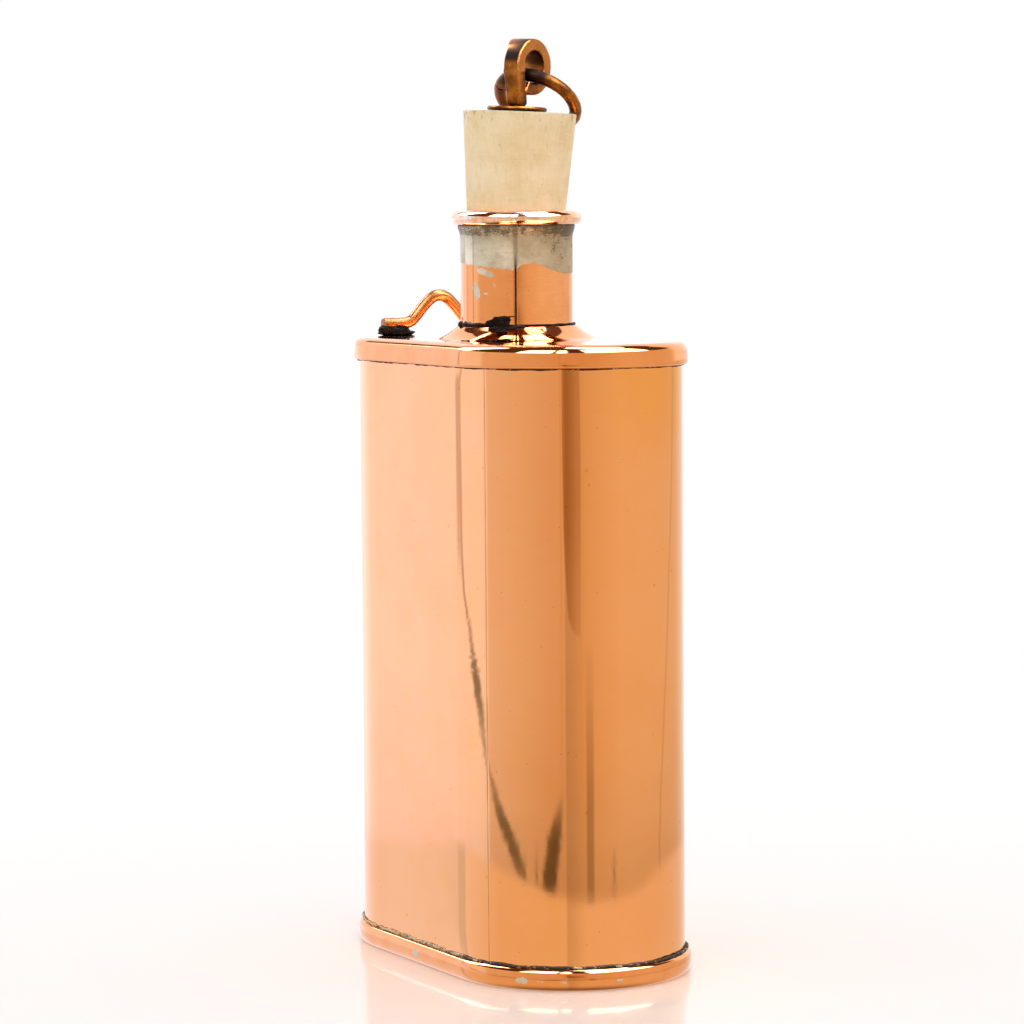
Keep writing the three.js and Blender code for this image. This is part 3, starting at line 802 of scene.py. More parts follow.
def square_section(across, out, corner, sides=40):
    """A rounded rectangle: half sizes across and outward, and a corner radius."""
    count = sides // 4
    xs, ys = [], []
    for k, (sx, sy) in enumerate(((1, 1), (-1, 1), (-1, -1), (1, -1))):
        for a in np.radians(np.linspace(90 * k, 90 * (k + 1), count)):
            xs.append(sx * (across - corner) + corner * math.cos(a))
            ys.append(sy * (out - corner) + corner * math.sin(a))
    return np.array(xs), np.array(ys)


def eye_section(i, count, stem_end, shank_end):
    """The outline of the bar at step i: round in the stem, square in the shank, wide in the loop."""
    if i < stem_end:
        return square_section(STEM_RADIUS, STEM_RADIUS, STEM_RADIUS - 0.001)
    rise = min((i - stem_end) / (shank_end - stem_end), 1.0)
    ridge = SHANK_RIDGE * math.exp(-((i - shank_end) / 2.5) ** 2)
    half_band = (EYE_OUTER_RADIUS - EYE_HOLE_RADIUS) / 2
    half_out = SHANK_HALF_OUT - (SHANK_HALF_OUT - half_band) * rise
    across, out = square_section(SHANK_HALF_ACROSS + SHANK_SPREAD * rise + ridge, half_out + ridge,
                                 EYE_CORNER)
    round_loop = (i - shank_end) / (count - shank_end)
    wide = smooth_step((round_loop - 0.12) / 0.2) * smooth_step((0.88 - round_loop) / 0.2)
    return np.where(across < 0, across - LOOP_FAR_SIDE * wide, across), out


def make_eye():
    """One forged bar: round stem, square shank, and a loop that curls back against the shank."""
    path, stem_end, shank_end = eye_path()
    grid = sweep(path, (1, 0, 0), lambda i: eye_section(i, len(path), stem_end, shank_end))
    forged = (np.arange(len(grid)) >= stem_end)[:, None]
    local = rounded_ends(worked(grid, path, (0.035, 2.6, 51), (0.012, 0.8, 52), forged), 0.15)
    piece = capped_grid("forged_eye", from_eye(local), "eye", 40)
    flank = smooth_step((np.abs(local[..., 0]) - 1.9) / 0.5)
    dark = smooth_step((local[..., 2] - EYE_CENTRE_HEIGHT - 0.6) / 1.4) * (1 - flank)
    store(piece, "flank", np.append(flank, (0, 0)))
    store(piece, "dark", np.append(dark, (0, 0)))
    return in_place_of(piece, "eye_bolt")


# ---------------------------------------------------- pull ring


def make_ring():
    """Bent wire with a butt joint. At angle 0 it touches its seat in the eye."""
    upright = Vector((0, 0, 1))
    along = SWING_AXIS
    level = upright.cross(along).normalized()
    droop = Quaternion(along, math.radians(-RING_DROOP))
    hang = droop @ level
    gap = RING_GAP / RING_RADIUS
    turns = math.radians(RING_GAP_ANGLE) + np.linspace(gap / 2, 2 * math.pi - gap / 2, 220)
    centre = np.array(SWING_POINT) + RING_RADIUS * np.array(hang)
    path = np.array([centre + RING_RADIUS * (math.sin(a) * np.array(along) - math.cos(a) * np.array(hang))
                     for a in turns])
    normal = along.cross(hang)
    across, out = wire_section(RING_WIRE)
    grid = sweep(path, normal, lambda i: (across, out))
    grid = worked(grid, path, (0.025, 3.0, 61), (0.012, 0.9, 62))
    grid = rounded_ends(grid, 0.15)
    piece = capped_grid("pull_ring_wire", grid, "ring", 60)
    from_seat = np.linalg.norm(grid - np.array(SWING_POINT), axis=-1)
    # Painted shade: the ring wire darkens towards its seat in the eye.
    store(piece, "dark", np.append(smooth_step((10.5 - from_seat) / 5.0), (0, 0)))
    return in_place_of(piece, "pull_ring")


# ---------------------------------------------------- build the pieces

body = make_body()
base = make_base()
shoulder = make_shoulder()
shoulder_seam = solder_line("solder_under_shoulder", "shoulder_solder", SHOULDER_BOTTOM + 0.15, -1,
                            0.5, 0.5, 8)
base_seam = solder_line("solder_over_base", "base_solder", BASE_HEIGHT - 0.1, 1, 0.62, 0.85, 14)
neck = make_neck()
sealant = make_sealant()
staple = make_loop()
left_pad = make_pad("black_pad_left", "loop_solder_left", 33)
right_pad = make_pad("black_pad_right", "loop_solder_right", 37)
plug = make_plug()
top_washer = make_washer("copper_washer_top", "top_washer", 8.0, PLUG_TOP + 0.35, 44)
low_washer_height = PLUG_BOTTOM - 0.1 - WASHER_THICKNESS
bottom_washer = make_washer("copper_washer_bottom", "bottom_washer", 7.0, low_washer_height, 46)
eye = make_eye()
ring = make_ring()

# ---------------------------------------------------- materials


def operator(operation, turned_round=False):
    """A method that adds a math node, with its own value second if turned round."""
    def apply(self, other):
        pair = (other, self) if turned_round else (self, other)
        return self.shader.math(operation, *pair)
    return apply


class Value:
    """A number that a shader's nodes work out. Arithmetic on it adds more nodes."""

    def __init__(self, shader, socket):
        self.shader = shader
        self.socket = socket

    __add__, __radd__ = operator("ADD"), operator("ADD", True)
    __sub__, __rsub__ = operator("SUBTRACT"), operator("SUBTRACT", True)
    __mul__, __rmul__ = operator("MULTIPLY"), operator("MULTIPLY", True)
    __truediv__ = operator("DIVIDE")
    __pow__ = operator("POWER")

    def __abs__(self):
        return self.shader.math("ABSOLUTE", self)


class Shader:
    """A material's node tree, with short ways to add nodes."""

    def __init__(self, owner):
        self.material = bpy.data.materials.new(owner) if isinstance(owner, str) else owner
        self.material.use_nodes = True
        self.tree = self.material.node_tree
        self.bsdf = next((n for n in self.tree.nodes if n.type == "BSDF_PRINCIPLED"), None)
        self.place = self.add("ShaderNodeTexCoord").outputs["Object"]

    def add(self, kind, settings=None, **inputs):
        node = self.tree.nodes.new(kind)
        for key, value in (settings or {}).items():
            setattr(node, key, value)
        for key, value in inputs.items():
            self.set(node.inputs[key.replace("_", " ")], value)
        return node

    def set(self, socket, value):
        value = value.socket if isinstance(value, Value) else value
        if isinstance(value, bpy.types.NodeSocket):
            self.tree.links.new(value, socket)
        elif isinstance(value, (tuple, list)) and len(value) == 3 and len(socket.default_value) == 4:
            socket.default_value = (*value, 1.0)
        else:
            socket.default_value = value

    def surface(self, **inputs):
        for key, value in inputs.items():
            self.set(self.bsdf.inputs[key.replace("_", " ")], value)

    def grey(self, value):
        return self.add("ShaderNodeCombineColor", Red=value, Green=value, Blue=value).outputs[0]

    def shifted(self, amount):
        return self.add("ShaderNodeMapping", Vector=self.place, Location=(amount, amount, amount)).outputs[0]

    def attribute(self, name):
        return Value(self, self.add("ShaderNodeAttribute", {"attribute_name": name}).outputs["Fac"])

    def noise(self, size, detail=4.0, rough=0.55, stretch=(1, 1, 1), warp=0.0, vector=None):
        """Noise between 0 and 1 with features of a size in millimetres, stretched along the axes."""
        scale = tuple(1 / (size * MM * s) for s in stretch)
        mapped = self.add("ShaderNodeMapping", Vector=vector or self.place, Scale=scale).outputs[0]
        node = self.add("ShaderNodeTexNoise", Vector=mapped, Scale=1.0, Detail=detail, Roughness=rough,
                        Distortion=warp)
        return Value(self, node.outputs["Fac"])

    def math(self, operation, a, b=0.0):
        node = self.add("ShaderNodeMath", {"operation": operation})
        self.set(node.inputs[0], a)
        self.set(node.inputs[1], b)
        return Value(self, node.outputs[0])

    def between(self, value, low, high, to_low=0.0, to_high=1.0, kind="SMOOTHSTEP"):
        """Maps a value from one range to another, clamped, with a smooth step."""
        node = self.add("ShaderNodeMapRange", {"interpolation_type": kind})
        for key, item in (("Value", value), ("From Min", low), ("From Max", high),
                          ("To Min", to_low), ("To Max", to_high)):
            self.set(node.inputs[key], item)
        return Value(self, node.outputs["Result"])

    def mix(self, fac, a, b, blend="MIX"):
        node = self.add("ShaderNodeMix", {"data_type": "RGBA", "blend_type": blend})
        self.set(node.inputs["Factor"], fac)
        self.set(node.inputs[6], a)
        self.set(node.inputs[7], b)
        return node.outputs[2]

    def bump(self, height, distance, strength=1.0, normal=None):
        node = self.add("ShaderNodeBump", Height=height, Distance=distance * MM, Strength=strength)
        if normal is not None:
            self.set(node.inputs["Normal"], normal)
        return node.outputs["Normal"]

    def split(self):
        """The place on the piece as X, Y and Z, in metres."""
        sockets = self.add("ShaderNodeSeparateXYZ", Vector=self.place).outputs
        return {axis: Value(self, socket) for axis, socket in zip("XYZ", sockets)}

    def spread(self, color, other, mask, strength):
        """Lays another colour over a colour where a mask is 1."""
        return self.mix(mask * strength, color, other)


def stripe(shader, psi, left, right, soft=1.2):
    """1 between two bearings in degrees and 0 outside them."""
    rise = shader.between(psi, left - soft, left + soft)
    fall = shader.between(psi, right - soft, right + soft, 1.0, 0.0)
    return rise * fall


# Colours, linear red, green and blue.
COPPER = (0.93, 0.40, 0.16)
COPPER_DULL = (0.90, 0.36, 0.125)
GOLDEN = (0.92, 0.37, 0.085)
DIRT = (0.03, 0.018, 0.01)
TIN = (0.41, 0.345, 0.235)
TIN_PALE = (0.6, 0.55, 0.42)
COPPER_SPOT = (0.6, 0.2, 0.04)
COPPER_SPECK = (0.3, 0.12, 0.05)
SEAM_BROWN = (0.5, 0.2, 0.07)
PLATE_COPPER = (0.89, 0.34, 0.12)
PLATE_DULL = (0.84, 0.3, 0.09)
PLATE_TINNED = (0.6, 0.47, 0.33)
LAP_TIN = (0.84, 0.76, 0.58)
MOUTH_TIN = (0.36, 0.285, 0.16)
RIGHT_TIN = (0.32, 0.24, 0.125)
GRIME = (0.06, 0.042, 0.02)
HAIRLINE = (0.07, 0.05, 0.025)
TIN_SCRATCH = (0.25, 0.2, 0.11)
NECK_LEFT = (0.85, 0.31, 0.095)
NECK_RIGHT = (0.97, 0.42, 0.18)
NECK_DULL = (0.8, 0.29, 0.09)
NECK_WASHED = (0.93, 0.62, 0.46)
NECK_SPECK = (0.4, 0.14, 0.06)
LAP_EDGE = (0.25, 0.13, 0.06)
SEAM_SHADE = (0.16, 0.12, 0.07)
PATINA = (0.43, 0.13, 0.015)
PATINA_DARK = (0.16, 0.048, 0.01)
FLANK_COPPER = (0.66, 0.25, 0.07)
# The next two: dark patina on the eye's top and painted shade on the ring near its seat, then painted shade
# in crevices.
DARK_PATINA_AND_SEAT_SHADE = (0.014, 0.007, 0.005)
PAINTED_CREVICE_SHADE = (0.012, 0.006, 0.004)
WORN_EDGE = (0.75, 0.33, 0.13)
STAPLE_COPPER = (0.46, 0.15, 0.033)
STAPLE_BROWN = (0.3, 0.1, 0.025)
SOLDER_GREY = (0.36, 0.32, 0.2)
SOLDER_BLACK = (0.012, 0.008, 0.006)
SOLDER_GLINT = (0.5, 0.44, 0.34)
PITCH = (0.008, 0.005, 0.004)
PITCH_PALE = (0.05, 0.03, 0.02)
CREAM = (0.8, 0.65, 0.42)
CREAM_DARK = (0.71, 0.54, 0.28)
RUB_MARK = (0.62, 0.44, 0.2)
PALE_LINE = (0.9, 0.76, 0.55)
STAIN = (0.3, 0.17, 0.03)
FLECK = (0.2, 0.1, 0.02)
IRON = (0.2, 0.18, 0.16)
RUST = (0.1, 0.05, 0.03)
SPOT_ROUGHNESS, TIN_ROUGHNESS = (0.3, 0.3, 0.3), (0.42, 0.42, 0.42)


def polish_marks(shader, across, length):
    """Fine, level rubbing marks: close together up and down, and long round the piece."""
    marks = shader.noise(across, 3, 0.65, stretch=(length, length, 1))
    return shader.bump(marks, 0.0012, 0.2)


def specks(shader, size, share, seed=0.0):
    """Small round marks. A larger share gives more of them."""
    cells = shader.add("ShaderNodeTexVoronoi", Vector=shader.shifted(seed),
                       Scale=1 / (size * 6 * MM)).outputs
    spot = shader.between(cells["Distance"], 0.1, 0.18, 1.0, 0.0)
    chosen = shader.add("ShaderNodeSeparateColor", Color=cells["Color"]).outputs["Red"]
    return spot * shader.between(chosen, 1 - share, 1 - share + 0.02)


def warm_patch_high_up(shader, color, cloud, fine):
    """Warmer copper in a patch high up on one round end."""
    place = shader.split()
    high = shader.between(place["Z"] + cloud * 0.06, 0.15, 0.195)
    right = shader.between(place["Y"] + fine * 0.01, -0.008, 0.012)
    return shader.spread(color, GOLDEN, high * right * shader.between(place["X"], 0.03, 0.04), 0.8)


def seam_stain(shader, color):
    """A thin brown line along the seam, worn away in places and strongest low down."""
    line = shader.between(abs(shader.attribute("seam")), 0.08, 0.22, 1.0, 0.0)
    worn = shader.between(shader.noise(9, 3, 0.6), 0.3, 0.6, 0.35, 0.8)
    height = shader.split()["Z"]
    reach = shader.between(height, 0.03, 0.042, 1.0, 0.35) + shader.between(height, 0.075, 0.09, 0, 0.6)
    return shader.mix(line * worn * reach, color, SEAM_BROWN)


def copper_material():
    """Polished sheet with faint clouds, specks, pits, golden tarnish in spots, a warmer patch high up on one
    round end, and level rubbing marks.
    """
    shader = Shader("polished copper")
    cloud = shader.noise(30, 5, 0.6)
    fine = shader.noise(2.5, 4, 0.65, stretch=(4, 4, 1))
    color = shader.spread(COPPER, COPPER_DULL, shader.between(cloud + fine * 0.25, 0.48, 0.85), 0.6)
    color = warm_patch_high_up(shader, color, cloud, fine)
    color = shader.spread(color, COPPER_SPOT, specks(shader, 0.55, 0.05, 2.0), 0.35)
    color = shader.spread(color, COPPER_SPECK, specks(shader, 0.16, 0.035), 0.75)
    color = shader.mix(shader.between(shader.attribute("pit"), 0.0, 0.12), color, DIRT)
    color = seam_stain(shader, color)
    gold = shader.between(shader.noise(7, 5, 0.7, vector=shader.shifted(0.3)), 0.56, 0.68)
    color = shader.spread(color, GOLDEN, gold, 0.3)
    rough = shader.between(fine + cloud, 0.7, 1.3, 0.014, 0.024)
    shader.surface(Base_Color=color, Metallic=1.0, Roughness=rough, Normal=polish_marks(shader, 0.35, 16))
    return shader.material


def plate_material():
    """Pressed plate copper, a little duller than the body, with ragged spots of tin on the rim."""
    shader = Shader("plate copper")
    cloud = shader.noise(14, 5, 0.6)
    fine = shader.noise(2.2, 4, 0.6)
    tone = shader.between(cloud + fine * 0.3, 0.5, 0.85)
    color = shader.mix(tone, PLATE_COPPER, PLATE_DULL)
    color = shader.spread(color, COPPER_SPECK, specks(shader, 0.16, 0.05), 0.6)
    ragged = (shader.noise(1.1, 4, 0.65) - 0.5) * 1.3
    tinned = shader.between(shader.attribute("spot") + ragged, 0.0, 0.18)
    color = shader.mix(tinned, color, PLATE_TINNED)
    metal = 1.0 - tinned * 0.6
    rough = shader.mix(tinned, shader.grey(shader.between(cloud, 0.35, 0.7, 0.045, 0.08)), SPOT_ROUGHNESS)
    bump = shader.bump(shader.noise(1.0, 3, 0.5), 0.003, 0.2)
    shader.surface(Base_Color=color, Metallic=metal, Roughness=rough, Normal=bump)
    return shader.material


def tin_tone(shader, up, lap, cloud):
    """Wiped tin: pale low down and on the lap strip, darker towards the mouth and the right."""
    color = shader.mix(shader.between(cloud, 0.4, 0.66), TIN_PALE, TIN)
    color = shader.spread(color, LAP_TIN, stripe(shader, lap, LAP_START, LAP_END, 0.8), 0.7)
    high = shader.between(up + cloud * 5.0, -6.5, 0.5, 0.0, 0.65) * shader.between(lap, -110, -60, 0.3, 1.0)
    color = shader.mix(high, color, MOUTH_TIN)
    return shader.mix(shader.between(lap, -45, 20, 0.0, 0.7), color, RIGHT_TIN)


def tin_color(shader, up, lap):
    """The tin with its grime, hairlines and scratches, most of them under the mouth and on the right."""
    cloud = shader.noise(4.5, 5, 0.65, stretch=(1.6, 1.6, 1))
    color = tin_tone(shader, up, lap, cloud)
    reach = shader.between(up, -3.4, -1.6) * 0.17 + shader.between(lap, -25, 30, 0.0, 0.1)
    reach = reach + shader.between(up, -12.0, -3.0, -0.03, 0.03)
    patchy = shader.noise(2.5, 4, 0.6) * 0.5
    fine = shader.noise(0.6, 6, 0.8, stretch=(2.4, 2.4, 1), warp=1.6)
    color = shader.spread(color, GRIME, shader.between(fine + patchy + reach, 0.89, 0.98), 0.8)
    wander = abs(shader.noise(2.4, 3, 0.6, warp=1.4) - 0.5)
    where = shader.between(reach + cloud * 0.3, 0.2, 0.3)
    color = shader.mix(shader.between(wander, 0.012, 0.04, 0.7, 0.0) * where, color, HAIRLINE)
    scratch = shader.noise(0.6, 3, 0.7, stretch=(7, 7, 1), warp=0.6)
    return shader.mix(shader.between(scratch, 0.6, 0.7, 0, 0.35), color, TIN_SCRATCH)


def neck_copper(shader, lap, grain):
    """Bare copper: redder on the left, paler on the right, and washed pale on the rolled mouth."""
    color = shader.mix(shader.between(lap, -75, -5), NECK_LEFT, NECK_RIGHT)
    tone = shader.between(shader.noise(8, 4, 0.6) + grain * 0.4, 0.5, 0.9, 0.0, 0.4)
    color = shader.mix(tone, color, NECK_DULL)
    washed = shader.between(shader.noise(2.5, 5, 0.7), 0.4, 0.6, 0.25, 0.95)
    on_roll = shader.between(lap, 0.8 * ROLL_MARK, 0.9 * ROLL_MARK)
    color = shader.mix(washed * on_roll, color, NECK_WASHED)
    return shader.spread(color, NECK_SPECK, specks(shader, 0.2, 0.08), 0.6)


def neck_lines(shader, color, lap, up, tin):
    """The lap strip's dark edges, and the seam: a soft shade on the tin and a broken black line below."""
    for edge in (LAP_START, LAP_END):
        color = shader.mix(shader.between(abs(lap - edge), 0.35, 0.9, 0.6, 0.0), color, LAP_EDGE)
    seam = abs(shader.attribute("seam"))
    shade = shader.between(seam, 0.2, 0.95, 0.6, 0.0) * tin * shader.between(up, -1.0, 0.5, 1.0, 0.0)
    color = shader.mix(shade, color, SEAM_SHADE)
    line = shader.between(seam - shader.noise(0.5, 4, 0.7) * 0.4, 0.0, 0.12, 1.0, 0.0)
    return shader.mix(line * shader.between(up, -11.5, -6.5, 1.0, 0.0), color, DIRT)


def neck_material():
    """Copper below and on the mouth, and dull tin with a ragged edge between them."""
    shader = Shader("tinned neck")
    lap, up = shader.attribute("lap"), shader.attribute("up")
    ragged = (shader.noise(1.3, 5, 0.7) - 0.5) * 1.3
    tin = shader.between(shader.attribute("tin") + ragged, -0.08, 0.08)
    grain = shader.noise(0.45, 3, 0.6, stretch=(14, 14, 1))
    color = shader.mix(tin, neck_copper(shader, lap, grain), tin_color(shader, up, lap))
    color = neck_lines(shader, color, lap, up, tin)
    rough = shader.mix(tin, shader.grey(shader.between(grain, 0.4, 0.7, 0.07, 0.13)), TIN_ROUGHNESS)
    lumps = shader.bump(shader.noise(0.6, 4, 0.6) * tin, 0.04, 0.5)
    shader.surface(Base_Color=color, Metallic=1.0 - tin * 0.65, Roughness=rough, Specular_IOR_Level=0.25,
                   Normal=shader.bump(grain, 0.006, 0.3, lumps))
    return shader.material


def aged_copper_material():
    """Brown patina, worn back to copper on the edges, with painted shade, near black, in the crevices."""
    shader = Shader("aged copper")
    cloud = shader.noise(4.5, 6, 0.65)
    color = shader.mix(shader.between(cloud, 0.38, 0.62), PATINA, PATINA_DARK)
    color = shader.spread(color, FLANK_COPPER, shader.attribute("flank"), 0.5)
    # Dark patina on the top of the eye, and painted shade on the ring wire near its seat in the eye.
    color = shader.spread(color, DARK_PATINA_AND_SEAT_SHADE, shader.attribute("dark"), 0.97)
    pits = shader.between(shader.noise(0.7, 5, 0.7), 0.6, 0.7)
    color = shader.spread(color, DIRT, pits, 0.6)
    # Painted shade: near black where ambient occlusion finds the surface shut in, as in the eye's hole and
    # between parts.
    shut = shader.add("ShaderNodeAmbientOcclusion", {"samples": 8}, Distance=5.0 * MM).outputs["AO"]
    color = shader.mix(shader.between(shut, 0.3, 0.85, 0.95, 0.0), color, PAINTED_CREVICE_SHADE)
    round_edge = shader.add("ShaderNodeBevel", {"samples": 4}, Radius=0.4 * MM).outputs["Normal"]
    flat_normal = shader.add("ShaderNodeNewGeometry").outputs["Normal"]
    agree = shader.add("ShaderNodeVectorMath", {"operation": "DOT_PRODUCT"})
    shader.tree.links.new(round_edge, agree.inputs[0])
    shader.tree.links.new(flat_normal, agree.inputs[1])
    worn = shader.between(agree.outputs["Value"], 0.9, 0.99, 0.75, 0.0)
    color = shader.mix(worn, color, WORN_EDGE)
    rough = shader.between(cloud, 0.35, 0.65, 0.24, 0.36) + shader.attribute("dark") * 0.22
    bump = shader.bump(shader.noise(1.3, 3, 0.5), 0.02, 0.25)
    shader.surface(Base_Color=color, Metallic=1.0, Roughness=rough, Normal=bump)
    return shader.material


def wire_copper_material():
    """The staple: half-gloss orange-brown copper."""
    shader = Shader("staple copper")
    cloud = shader.noise(5, 5, 0.6)
    color = shader.mix(shader.between(cloud, 0.4, 0.7), STAPLE_COPPER, STAPLE_BROWN)
    bump = shader.bump(shader.noise(3.0, 1, 0.4), 0.01, 0.2)
    shader.surface(Base_Color=color, Metallic=1.0, Roughness=0.36, Coat_Weight=0.3, Coat_Roughness=0.12,
                   Normal=bump)
    return shader.material


def solder_material():
    """Grey-green where it shows along the sides, black round the front."""
    shader = Shader("dirty solder")
    cloud = shader.noise(2.6, 5, 0.7)
    place = shader.split()
    front = shader.math("MAXIMUM", shader.between(place["X"], 0.016, 0.03, 0.0, 0.14),
                        shader.between(place["Z"], 0.1, 0.11, 0.0, 0.16))
    black = shader.between(cloud + front, 0.5, 0.6)
    color = shader.mix(black, SOLDER_GREY, SOLDER_BLACK)
    glint = shader.between(shader.noise(1.6, 3, 0.6), 0.62, 0.66)
    color = shader.spread(color, SOLDER_GLINT, glint, 0.3)
    bump = shader.bump(shader.noise(0.7, 4, 0.6), 0.1, 0.6)
    shader.surface(Base_Color=color, Metallic=0.3, Roughness=0.6, Specular_IOR_Level=0.25, Normal=bump)
    return shader.material


def sealant_material():
    """Black pitch, glossy in places."""
    shader = Shader("black compound")
    cloud = shader.noise(1.6, 5, 0.7)
    color = shader.mix(shader.between(cloud, 0.5, 0.75), PITCH, PITCH_PALE)
    rough = shader.between(shader.noise(0.8, 4, 0.6), 0.4, 0.65, 0.22, 0.6)
    bump = shader.bump(shader.noise(0.7, 4, 0.65), 0.14, 0.7)
    shader.surface(Base_Color=color, Roughness=rough, IOR=1.2, Specular_IOR_Level=0.15, Normal=bump)
    return shader.material


def rubber_material():
    """Cream rubber with fine up-and-down rub marks, brown flecks, and stains under the washer."""
    shader = Shader("cream rubber")
    high = shader.split()["Z"]
    cloud = shader.noise(9, 5, 0.6) - shader.between(high, 0.185, 0.222, 0.0, 0.12)
    color = shader.mix(shader.between(cloud, 0.25, 0.6), CREAM, CREAM_DARK)
    rub = shader.noise(0.9, 4, 0.65, stretch=(1, 1, 9))
    color = shader.mix(shader.between(rub, 0.5, 0.75, 0, 0.3), color, RUB_MARK)
    lines = shader.noise(0.35, 3, 0.6, stretch=(14, 14, 1))
    color = shader.mix(shader.between(lines, 0.5, 0.7, 0, 0.2), color, PALE_LINE)
    top_edge = shader.between(high, 0.2205, 0.2255, 0, 0.09)
    stain = shader.noise(1.6, 5, 0.75, stretch=(1, 1, 1.8)) + top_edge
    color = shader.mix(shader.between(stain, 0.62, 0.74, 0, 0.8), color, STAIN)
    fleck = shader.between(shader.noise(0.45, 3, 0.7), 0.66, 0.71)
    color = shader.spread(color, FLECK, fleck, 0.75)
    color = shader.spread(color, FLECK, specks(shader, 0.3, 0.05), 0.75)
    bump = shader.bump(shader.noise(0.5, 4, 0.6), 0.04, 0.35, shader.bump(lines, 0.02, 0.3))
    shader.surface(Base_Color=color, Roughness=0.6, IOR=1.4, Normal=bump)
    return shader.material


def wire_material():
    """Dull iron with a little rust."""
    shader = Shader("iron wire")
    rust = shader.noise(1.5, 4, 0.6)
    color = shader.mix(shader.between(rust, 0.4, 0.7), IRON, RUST)
    bump = shader.bump(shader.noise(0.6, 3, 0.6), 0.03, 0.4)
    shader.surface(Base_Color=color, Metallic=0.9, Roughness=0.5, Normal=bump)
    return shader.material


def paint(material, *pieces):
    for piece in pieces:
        piece.data.materials.clear()
        piece.data.materials.append(material)


paint(copper_material(), body)
paint(plate_material(), base, shoulder)
paint(neck_material(), neck)
aged = aged_copper_material()
paint(aged, top_washer, bottom_washer, eye, ring, frame["nodes"]["stem_nut"])
paint(wire_copper_material(), staple)
dirty_solder = solder_material()
paint(dirty_solder, shoulder_seam, base_seam)
paint(dirty_solder, frame["nodes"]["body_seam_solder"], frame["nodes"]["neck_seam_solder"])
paint(sealant_material(), sealant, left_pad, right_pad)
paint(rubber_material(), plug)
paint(wire_material(), frame["nodes"]["rim_wire"])

# ---------------------------------------------------- stage, light and camera

CAMERA_AZIMUTH = 62.06
CAMERA_DISTANCE = 1064.58
CAMERA_HEIGHT = 204.22
CAMERA_SIDE = -1.72
CAMERA_PITCH = 4.55
CAMERA_ROLL = -0.44
LENS = 139.73
SENSOR = 36.0

# What reflections see is laid out by bearing round the bottle and rise above level, both in degrees.
FRONT_DARK_EDGE = -30.5
PALE_TO_WARM_EDGE = -113
SOFT_BOX = (8.0, 9.6, 12.0)
SOFT_BOX_TWICE_SEEN = (16.0, 22.0, 34.0)
BACKDROP = (1.25, 1.27, 1.3)
GAP_TINT = (0.58, 0.4, 0.2)
STREAK_TINT = (0.24, 0.25, 0.18)
BETWEEN_BOXES = (0.1, 0.06, 0.04)
DARK_BACK = (0.17, 0.1, 0.075)
DARK_TOP = (0.12, 0.07, 0.05)
WHITE, DOUBLE = (1.0, 1.0, 1.0), (2.0, 2.0, 2.0)
BOXES = ((-168, -141), (-78, -43), (-38, -27), (-8, 62))

# Colours at bearings: at the height of the bottle's sides, on the table, and for soft materials.
SIDES = ((-180, (1.3, 1.4, 1.6)), (-155, (1.17, 1.25, 1.66)), (-150, (1.1, 1.19, 1.52)),
         (-128, (1.04, 1.22, 1.65)), (PALE_TO_WARM_EDGE - 2, (1.0, 1.2, 1.6)),
         (PALE_TO_WARM_EDGE + 2, (0.92, 0.93, 1.0)), (-75, (0.87, 0.83, 0.73)), (-45, (0.82, 0.7, 0.57)),
         (-14, (0.8, 0.66, 0.45)), (5, (0.87, 0.75, 0.56)), (25, (0.91, 0.83, 0.66)), (60, (0.9, 0.84, 0.7)),
         (105, (0.86, 0.8, 0.66)), (125, (0.95, 1.0, 1.0)), (150, (1.2, 1.25, 1.3)), (180, (1.3, 1.4, 1.6)))
TABLE = ((-180, (1.1, 1.2, 1.4)), (-150, (1.0, 1.12, 1.32)), (-100, (0.92, 0.86, 0.75)),
         (-40, (0.92, 0.82, 0.62)), (30, (0.94, 0.87, 0.75)), (110, (0.9, 0.86, 0.78)),
         (180, (1.1, 1.2, 1.4)))
SOFT_LIGHT = ((-180, WHITE), (-140, (1.12, 1.12, 1.12)), (-60, (1.0, 0.99, 0.97)), (30, (0.92, 0.9, 0.87)),
              (120, (0.96, 0.95, 0.94)), (180, WHITE))

# Dark streaks: bearings, half widths or strengths at each rise.
LONG_STREAK = ((-9.8, -74), (-9.4, -81), (-9.1, -91), (-8.68, -103), (-8.1, -115), (-7.1, -127),
               (-6.4, -134), (-5.4, -146), (-4.4, -147.5), (0, -147.6))
LONG_STREAK_HALF = ((-9.8, 0.8), (-9.2, 6.5), (-8.2, 2.2), (-7.0, 4.6), (-6.4, 1.8), (-5.2, 1.2), (0, 1.1))
LONG_STREAK_STRENGTH = ((-9.8, 0.15), (-9.2, 0.95), (-8.1, 0.6), (-7.0, 0.95), (-5.2, 0.7), (0, 0.65))
BLOT = ((-10.0, -47.5), (-9.5, -46), (-9.1, -41), (-8.5, -34))
BLOT_HALF = ((-10.0, 5.5), (-9.7, 7), (-9.4, 7), (-9.0, 5), (-8.5, 0.3))
RIGHT_LINE = ((-9.2, 73), (-8.5, 76), (-5.8, 90), (-2.7, 101), (0, 103))
RIGHT_LINE_HALF = ((-9.2, 1.4), (0, 1.5))
THIN_STREAKS = ((-72.0, 0.4), (-60.0, 0.55), (17.0, 0.5))

FLOOR_COLOR = (0.9, 0.89, 0.885)
FLOOR_HALF = 0.8
FLOOR_DROP = 0.0001
FLOOR_FADE = (0.15, 0.7)


def bearing_ramp(shader, psi, stops):
    """A colour that depends on the bearing, from (degrees, colour) pairs. Colours may reach 2."""
    node = shader.add("ShaderNodeValToRGB", Fac=(psi + 180.0) / 360.0)
    ramp = node.color_ramp
    for index, (angle, color) in enumerate(stops):
        place = (angle + 180) / 360
        item = ramp.elements[index] if index < 2 else ramp.elements.new(place)
        item.position = place
        item.color = (*(c / 2 for c in color), 1.0)
    return shader.mix(1.0, node.outputs["Color"], DOUBLE, "MULTIPLY")


